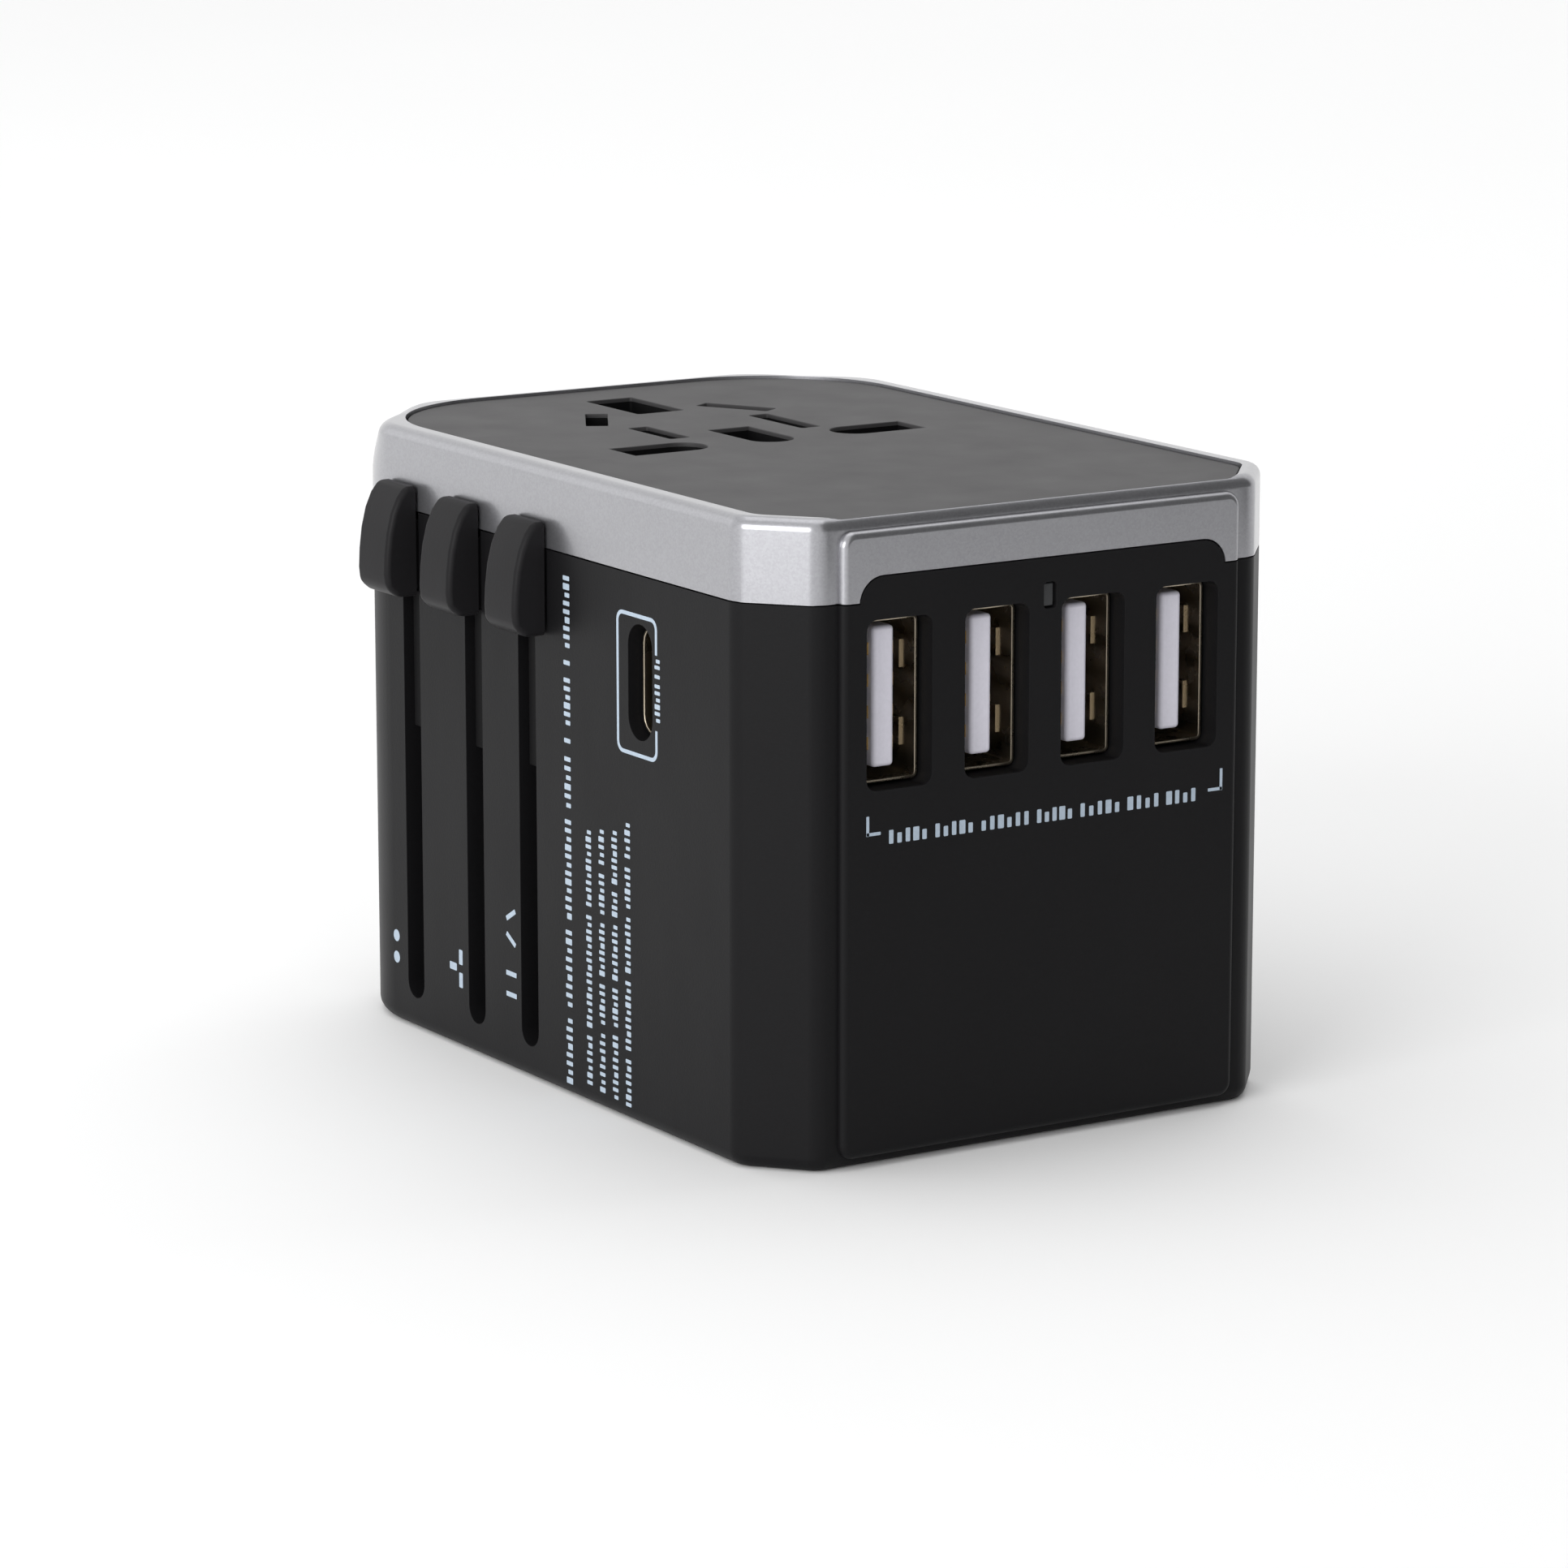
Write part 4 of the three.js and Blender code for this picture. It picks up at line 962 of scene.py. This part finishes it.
def spring_leaf(length_, width, thick, bow):
    """A contact spring: a strip that bows inwards along its length."""
    bm = bmesh.new()
    bmesh.ops.create_grid(bm, x_segments=10, y_segments=1, size=0.5)
    bmesh.ops.scale(bm, vec=(length_, width, 1), verts=bm.verts[:])
    for vert in bm.verts:
        vert.co.z = bow * math.cos(math.pi * vert.co.x / length_) ** 2
    raise_face(bm, thick)
    return bm


class ADAPTER_OT_large_ports(bpy.types.Operator):
    """Builds the shells, tongues and contacts of the four large ports."""

    bl_idname = "adapter.large_ports"
    bl_label = "Large ports"

    def execute(self, context):
        for number in port_numbers():
            self.build_shell(number)
            self.build_tongue(number)
        return {"FINISHED"}

    def build_shell(self, number):
        node = f"usb_a_shell_{number}"
        low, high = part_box(node)
        size = high - low
        sheet = port_sizes().sheet
        bm = sheet_shell(size.y, size.z, 0.5 * MM, size.x, sheet)
        mouth = sharp_edges(bm, lambda e: lies_at(e, Z, size.x))
        soften(bm, mouth, 0.09 * MM, 2)
        leaves = []
        for side in (-1, 1):
            leaf = spring_leaf(4 * MM, 2.2 * MM, 0.2 * MM, 0.1 * MM)
            turn = Matrix(((0, 0, -1, 0), (0, 1, 0, 0), (1, 0, 0, 0), (0, 0, 0, 1)))
            place = Matrix.Translation((size.y / 2 - sheet, side * 3.1 * MM, size.x - 3.9 * MM))
            leaves.append(moved(leaf, place @ turn))
        whole = gather(bm, *leaves)
        centre = middle(node)
        moved(whole, Matrix.Translation((low.x, centre.y, centre.z)) @ TO_PORT_END)
        bmesh.ops.recalc_face_normals(whole, faces=whole.faces[:])
        piece(f"port_shell_{number}", whole, "shell_steel", replaces=[node])

    def build_tongue(self, number):
        node = f"usb_a_tongue_{number}"
        low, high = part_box(node)
        bm = box_mesh(low, high)
        rounded = sharp_edges(bm, lambda e: any(v.co.x > high.x - TOUCH for v in e.verts))
        soften(bm, rounded, 0.38 * MM, 4)
        piece(f"port_tongue_{number}", bm, "white_nylon", replaces=[node])
        fingers = []
        pitch = 2.5 * MM
        half = 0.5 * MM
        back = high.x - 7 * MM
        for place in range(4):
            z = (low.z + high.z) / 2 + (place - 1.5) * pitch
            fingers.append(box_mesh(
                (back, low.y - 0.12 * MM, z - half), (high.x - 0.7 * MM, low.y + 0.1 * MM, z + half)
            ))
            fingers.append(box_mesh(
                (back, high.y - 0.1 * MM, z - half), (high.x - half, high.y + 0.16 * MM, z + half)
            ))
        piece(f"port_contacts_{number}", gather(*fingers), "gold", slot="contact_brass")


# ---- Small port and indicator --------------------------------------------------------------------------


class ADAPTER_OT_small_port(bpy.types.Operator):
    """Builds the small oval port and its tongue, and the indicator window."""

    bl_idname = "adapter.small_port"
    bl_label = "Small port and indicator"

    def execute(self, context):
        low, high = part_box("usb_c_shell")
        size = high - low
        centre = middle("usb_c_shell")
        bm = sheet_shell(size.x, size.z, 0.49 * size.x, size.y, port_sizes().sheet)
        mouth = sharp_edges(bm, lambda e: lies_at(e, Z, size.y))
        soften(bm, mouth, 0.1 * MM, 3)
        moved(bm, Matrix.Translation((centre.x, high.y, centre.z)) @ TO_SLIDER_SIDE)
        piece("small_port_shell", bm, "shell_steel", replaces=["usb_c_shell"])
        softened_copy("usb_c_tongue", 0.15 * MM, "small_port_tongue")
        low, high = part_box("usb_c_tongue")
        fingers = []
        rows = 12
        thin = 0.05 * MM
        half = 0.12 * MM
        for row in range(rows):
            z = low.z + (row + 0.5) * (high.z - low.z) / rows
            for x in (low.x, high.x):
                fingers.append(box_mesh(
                    (x - thin, low.y + 0.5 * MM, z - half), (x + thin, low.y + 4 * MM, z + half)
                ))
        piece("small_port_contacts", gather(*fingers), "gold", slot="contact_brass")
        softened_copy("led_light_pipe", 0.12 * MM, "indicator_window")
        return {"FINISHED"}


# ---- Printing ------------------------------------------------------------------------------------------


class Print:
    """Collects thin marks on one wall. Places are millimetres along the wall and up."""

    def __init__(self, wall):
        self.wall = wall
        self.marks = []

    def add(self, bm, across, up):
        low, _ = body_box()
        face_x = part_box("housing")[1].x
        ink = port_sizes().ink
        if self.wall == "side":
            place = Matrix.Translation((across * MM, low.y + 0.5 * ink, up * MM)) @ TO_SLIDER_SIDE
        else:
            place = Matrix.Translation((face_x - 0.5 * ink, across * MM, up * MM)) @ TO_PORT_END
        self.marks.append(moved(bm, place))

    def bar(self, across, up, width, height, radius=0.1):
        self.add(slab(width * MM, height * MM, radius * MM, port_sizes().ink, 3), across, up)

    def dot(self, across, up, radius):
        self.add(disc(radius * MM, port_sizes().ink, 20), across, up)

    def words(self, start, up, lengths, size, upright, space=0.5):
        """A line of blank words: each is a row of small blocks, as long as its number says."""
        at = start
        pitch = 0.72 * size
        for word in lengths:
            count = max(1, round(word / pitch))
            for place in range(count):
                tall = size if (place * 7 + count) % 3 else 0.74 * size
                thin = 0.52 * pitch if (place * 5 + count) % 4 else 0.72 * pitch
                along = at + (place + 0.5) * word / count
                low = up - (size - tall) / 2 if not upright else up + (size - tall) / 2
                if upright:
                    self.bar(low, along, tall, thin, 0.08)
                else:
                    self.bar(along, low, thin, tall, 0.08)
            at += word + space

    def finish(self, name):
        return piece(name, gather(*self.marks), "ink")


class ADAPTER_OT_printing(bpy.types.Operator):
    """Prints plug pictograms, rows of small blocks, the small port's frame and two corner marks."""

    bl_idname = "adapter.printing"
    bl_label = "Printing"

    def execute(self, context):
        self.print_side()
        self.print_end()
        return {"FINISHED"}

    def print_side(self):
        side = Print("side")
        columns = {name: x / MM for name, x in slider_columns().items()}
        self.pictogram_round(side, columns["eu"] - 3.4, 6.75)
        self.pictogram_three(side, columns["uk"] - 3.3, 7.05)
        self.pictogram_flat(side, columns["us"] - 3.05, 7.5)
        side.words(1.0, columns["us"] + 6.5, [5.8, 6.8, 8.6, 4.6, 1.0, 4.2, 0.9, 6.2], 1.0, True, 0.65)
        lines = (
            [4.4, 9.6, 6.6],
            [5.2, 3.6, 4.6, 3.6, 3.2],
            [5.6, 3.4, 4.8, 2.2, 4.6],
            [4.2, 6.0, 4.8, 3.6, 3.2],
        )
        for line, words in enumerate(lines):
            side.words(1.6 - 0.15 * line, columns["us"] + 9.75 + 2.05 * line, words, 0.85, True, 0.5)
        self.port_frame(side)
        side.finish("side_printing")

    @staticmethod
    def pictogram_round(side, x, z):
        """Two round pins."""
        for offset in (-0.95, 0.95):
            side.dot(x, z + offset, 0.52)

    @staticmethod
    def pictogram_three(side, x, z):
        """Three rectangular pins."""
        for offset in (-1.0, 1.0):
            side.bar(x + 0.55, z + offset, 0.6, 1.3)
        side.bar(x - 0.75, z, 1.2, 0.65)

    @staticmethod
    def pictogram_flat(side, x, z):
        """Two flat blades, and two tilted ones."""
        for offset in (-0.9, 0.9):
            side.bar(x, z + offset, 1.7, 0.42, 0.05)
        for tilt in (-1, 1):
            bm = slab(1.7 * MM, 0.42 * MM, 0.05 * MM, port_sizes().ink, 2)
            moved(bm, Matrix.Rotation(tilt * TILT, 4, "Z"))
            side.add(bm, x, z + 4.9 + tilt * 1.05)

    @staticmethod
    def port_frame(side):
        """A rounded frame round the small port, with a gap for a short row of blocks."""
        centre = middle("usb_c_shell") / MM
        width, height, line = 6.25, 11.6, 0.32
        frame_x = centre.x - 0.5
        bm = slab(width * MM, height * MM, 0.9 * MM, port_sizes().ink, 5)
        inner = slab((width - 2 * line) * MM, (height - 2 * line) * MM, 0.6 * MM, 3 * port_sizes().ink, 5)
        moved(inner, Matrix.Translation((0, 0, -port_sizes().ink)))
        gap = box_mesh((width / 2 * MM - 0.6 * MM, -3.2 * MM, -MM), (width / 2 * MM + MM, 2.9 * MM, MM))
        side.add(cut(cut(bm, inner), gap), frame_x, centre.z - 0.3)
        side.words(centre.z - 2.9, frame_x + width / 2, [3.3, 0.5, 1.0], 0.8, True, 0.25)

    def print_end(self):
        end = Print("end")
        end.bar(-16.7, 27.6, 0.26, 1.6, 0.05)
        end.bar(-16.15, 26.95, 1.3, 0.26, 0.05)
        end.bar(17.35, 27.5, 0.26, 1.8, 0.05)
        end.bar(16.75, 26.75, 1.4, 0.26, 0.05)
        end.words(-14.9, 26.55, [3.9, 3.9, 4.9, 3.7, 4.2, 3.4, 3.2], 1.1, False, 0.45)
        end.finish("end_printing")


# ---- Plugs ---------------------------------------------------------------------------------------------


class ADAPTER_OT_plugs(bpy.types.Operator):
    """Finishes the sliding plugs: carriages, round pins, rectangular blades and turning flat blades."""

    bl_idname = "adapter.plugs"
    bl_label = "Plugs"

    def execute(self, context):
        for name in ("eu", "uk", "us"):
            softened_copy(name + "_carriage", 0.15 * MM)
        softened_copy("uk_earth_pin", 0.12 * MM)
        for number in (1, 2):
            self.round_pin(number)
            self.sleeved(f"uk_blade_{number}", 9.5 * MM)
            self.flat_blade(number)
        return {"FINISHED"}

    def round_pin(self, number):
        """A turned pin with a domed tip and an insulating sleeve on its upper half."""
        node = f"eu_pin_{number}"
        low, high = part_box(node)
        centre = middle(node)
        radius = port_sizes().pin_radius
        bm = bmesh.new()
        bmesh.ops.create_uvsphere(bm, u_segments=32, v_segments=16, radius=radius)
        above = [v for v in bm.verts if v.co.z > 1e-7]
        top = high.z - low.z - radius
        for vert in above:
            flat = Vector((vert.co.x, vert.co.y, 0))
            out = flat.normalized() * radius if flat.length > 1e-6 else flat * 0
            vert.co = out + Vector((0, 0, top))
        bmesh.ops.remove_doubles(bm, verts=bm.verts[:], dist=TOUCH)
        moved(bm, Matrix.Translation((centre.x, centre.y, low.z + radius)))
        bmesh.ops.recalc_face_normals(bm, faces=bm.faces[:])
        piece(f"round_pin_{number}", bm, "nickel_pin", "eu_plug", replaces=[node])
        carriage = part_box("eu_carriage")[0].z
        sleeve_length = 9 * MM
        sleeve = disc(radius + 0.12 * MM, sleeve_length, 32)
        soften(sleeve, edges_at_height(sleeve, 0), 0.1 * MM, 2)
        moved(sleeve, Matrix.Translation((centre.x, centre.y, carriage - sleeve_length)))
        piece(f"round_pin_sleeve_{number}", sleeve, "inner_plastic", "eu_plug")

    def sleeved(self, node, sleeve_length):
        """A rectangular blade with an insulating sleeve on its upper part."""
        softened_copy(node, 0.25 * MM, steps=3)
        low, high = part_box(node)
        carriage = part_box("uk_carriage")[0].z
        centre = middle(node)
        width = high.x - low.x - 1 * MM + 0.24 * MM
        depth = high.y - low.y - 1 * MM + 0.24 * MM
        sleeve = slab(width, depth, 0.3 * MM, sleeve_length, 3)
        soften(sleeve, edges_at_height(sleeve, 0), 0.1 * MM, 2)
        moved(sleeve, Matrix.Translation((centre.x, centre.y, carriage - sleeve_length)))
        piece(node + "_sleeve", sleeve, "inner_plastic", "uk_plug")

    def flat_blade(self, number):
        """A flat blade with a hole near its tip, on its turning disc."""
        node = f"us_blade_{number}"
        sizes = port_sizes()
        low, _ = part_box(node)
        centre = middle(node)
        carriage_low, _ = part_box("us_carriage")
        blade = slab(sizes.blade_width, sizes.blade_thickness, 0.1 * MM, carriage_low.z + 1 * MM - low.z, 2)
        soften(blade, edges_at_height(blade, 0), 0.5 * MM, 3)
        through = Matrix.Translation((0, 3 * MM, sizes.hole_height)) @ Matrix.Rotation(QUARTER_TURN, 4, "X")
        blade = cut(blade, moved(disc(sizes.hole_radius, 6 * MM, 24), through))
        moved(blade, Matrix.Translation((centre.x, centre.y, low.z)))
        piece(f"flat_blade_{number}", blade, "nickel_pin", node, replaces=[node])
        turret = disc(sizes.turret_radius, 2.8 * MM, 40)
        soften(turret, edges_at_height(turret, 0), 0.2 * MM, 2)
        moved(turret, Matrix.Translation((centre.x, centre.y, carriage_low.z + 0.3 * MM)))
        piece(f"blade_turret_{number}", turret, "inner_plastic", node)


# ---- Inside --------------------------------------------------------------------------------------------


class ADAPTER_OT_inside(bpy.types.Operator):
    """Finishes what the case holds: contacts, shutter, cover, chassis and the charger."""

    bl_idname = "adapter.inside"
    bl_label = "Inside"

    def execute(self, context):
        edges = {
            "shutter": 0.2,
            "contact_cover": 0.12,
            "charger_board": 0.1,
            "usb_c_board": 0.1,
            "capacitor_1": 0.5,
            "capacitor_2": 0.5,
            "transformer": 0.4,
            "fuse": 0.15,
        }
        for node, width in edges.items():
            softened_copy(node, width * MM)
        for node, shown in frame["nodes"].items():
            if not shown.hide_render:
                shown.data.materials.clear()
                shown.data.materials.append(FINISHES[slot_of_node(node)])
        return {"FINISHED"}


# ---- Stage ---------------------------------------------------------------------------------------------

CAMERA_LENS = 137.19
CAMERA_PLACE = (0.41564, -0.26497, 0.12789)
CAMERA_ANGLES = (57.632, 12.059, -0.024)  # azimuth, elevation and roll, in degrees


def add_light(name, place, aim, size, power, tint=(1.0, 1.0, 1.0)):
    """A square soft light that looks at a point."""
    data = bpy.data.lights.new(name, "AREA")
    data.shape = "SQUARE"
    data.size = size
    data.energy = power
    data.color = tint
    light = bpy.data.objects.new(name, data)
    light.location = place
    light.rotation_mode = "QUATERNION"
    light.rotation_quaternion = (Vector(aim) - Vector(place)).to_track_quat("-Z", "Y")
    bpy.context.scene.collection.objects.link(light)


class ADAPTER_OT_stage(bpy.types.Operator):
    """Sets the pale floor, the soft lights and the camera."""

    bl_idname = "adapter.stage"
    bl_label = "Stage"

    def execute(self, context):
        self.floor()
        self.world()
        centre = Vector((0, 0, 0.026))
        add_light("key_light", (0.37, -0.80, 0.27), centre, 0.5, 3.8)
        add_light("left_light", (-0.70, -0.50, 0.35), centre, 0.6, 0.35)
        add_light("top_light", (-0.1, 0.1, 0.9), centre, 0.7, 1.2)
        self.flag()
        self.camera()
        context.scene.view_settings.view_transform = "Standard"
        return {"FINISHED"}

    @staticmethod
    def floor():
        bm = bmesh.new()
        bmesh.ops.create_grid(bm, x_segments=1, y_segments=1, size=4.0)
        floor = as_object(bm, "floor")
        surface = Surface("studio_floor")
        base = tuple(colours().floor)
        surface.feed("Base Color", surface.shades(base, 0.98, 1.02, surface.noise(0.4, 2.0)))
        surface.feed("Roughness", 0.75 + 0.1 * surface.noise(0.02, 2.0))
        floor.data.materials.append(surface.material)

    @staticmethod
    def flag():
        """A dark cloth stand on the port end's side, which keeps that end in the shade."""
        bm = bmesh.new()
        bmesh.ops.create_grid(bm, x_segments=1, y_segments=1, size=0.5)
        bmesh.ops.scale(bm, vec=(0.7, 1.0, 1), verts=bm.verts[:])
        stand = Matrix.Rotation(QUARTER_TURN, 4, "X")
        place = Matrix.Translation((0.36, 0.26, 0.34)) @ Matrix.Rotation(math.radians(-55), 4, "Z") @ stand
        flag = as_object(moved(bm, place), "flag")
        surface = Surface("flag_cloth")
        surface.feed("Base Color", surface.shades((0.05, 0.05, 0.05), 0.9, 1.1, surface.noise(0.01, 2.0)))
        surface.feed("Roughness", 0.85 + 0.1 * surface.noise(0.02, 2.0))
        flag.data.materials.append(surface.material)

    @staticmethod
    def world():
        world = bpy.data.worlds.new("studio")
        world.use_nodes = True
        world.node_tree.nodes["Background"].inputs["Color"].default_value = (1.0, 1.0, 1.0, 1.0)
        world.node_tree.nodes["Background"].inputs["Strength"].default_value = 1.0
        bpy.context.scene.world = world

    @staticmethod
    def camera():
        data = bpy.data.cameras.new("camera")
        data.lens = CAMERA_LENS
        data.sensor_width = 36.0
        camera = bpy.data.objects.new("camera", data)
        azimuth, elevation, roll = (math.radians(angle) for angle in CAMERA_ANGLES)
        level = math.cos(elevation)
        back = Vector((math.sin(azimuth) * level, -math.cos(azimuth) * level, math.sin(elevation)))
        right = Vector((math.cos(azimuth), math.sin(azimuth), 0))
        turn = Matrix((right, back.cross(right), back)).transposed().to_4x4()
        camera.matrix_world = Matrix.Translation(CAMERA_PLACE) @ turn @ Matrix.Rotation(roll, 4, "Z")
        bpy.context.scene.collection.objects.link(camera)
        bpy.context.scene.camera = camera


# ---- Panel and registration ----------------------------------------------------------------------------

OPERATORS = (
    ADAPTER_OT_stage,
    ADAPTER_OT_sleeve,
    ADAPTER_OT_bezel,
    ADAPTER_OT_socket_plate,
    ADAPTER_OT_base,
    ADAPTER_OT_knobs,
    ADAPTER_OT_large_ports,
    ADAPTER_OT_small_port,
    ADAPTER_OT_printing,
    ADAPTER_OT_plugs,
    ADAPTER_OT_inside,
)
GROUPS = {
    "adapter_body": BodySizes,
    "adapter_socket": SocketSizes,
    "adapter_ports": PortSizes,
    "adapter_colours": AdapterColours,
}


class ADAPTER_PT_maker(bpy.types.Panel):
    """Lists the pieces and their sizes."""

    bl_label = "Travel adapter"
    bl_idname = "ADAPTER_PT_maker"
    bl_space_type = "VIEW_3D"
    bl_region_type = "UI"
    bl_category = "Adapter"

    def draw(self, context):
        for operator in OPERATORS:
            self.layout.operator(operator.bl_idname)
        for group in GROUPS:
            holder = getattr(context.scene, group)
            box = self.layout.box()
            for name in holder.__annotations__:
                box.prop(holder, name)


def register():
    for group, kind in GROUPS.items():
        bpy.utils.register_class(kind)
        setattr(bpy.types.Scene, group, PointerProperty(type=kind))
    for operator in OPERATORS:
        bpy.utils.register_class(operator)
    bpy.utils.register_class(ADAPTER_PT_maker)


def unregister():
    bpy.utils.unregister_class(ADAPTER_PT_maker)
    for operator in reversed(OPERATORS):
        bpy.utils.unregister_class(operator)
    for group, kind in reversed(GROUPS.items()):
        delattr(bpy.types.Scene, group)
        bpy.utils.unregister_class(kind)


def main():
    register()
    FINISHES.update(make_finishes())
    for operator in OPERATORS:
        family, name = operator.bl_idname.split(".")
        getattr(getattr(bpy.ops, family), name)()


if __name__ == "__main__":
    main()
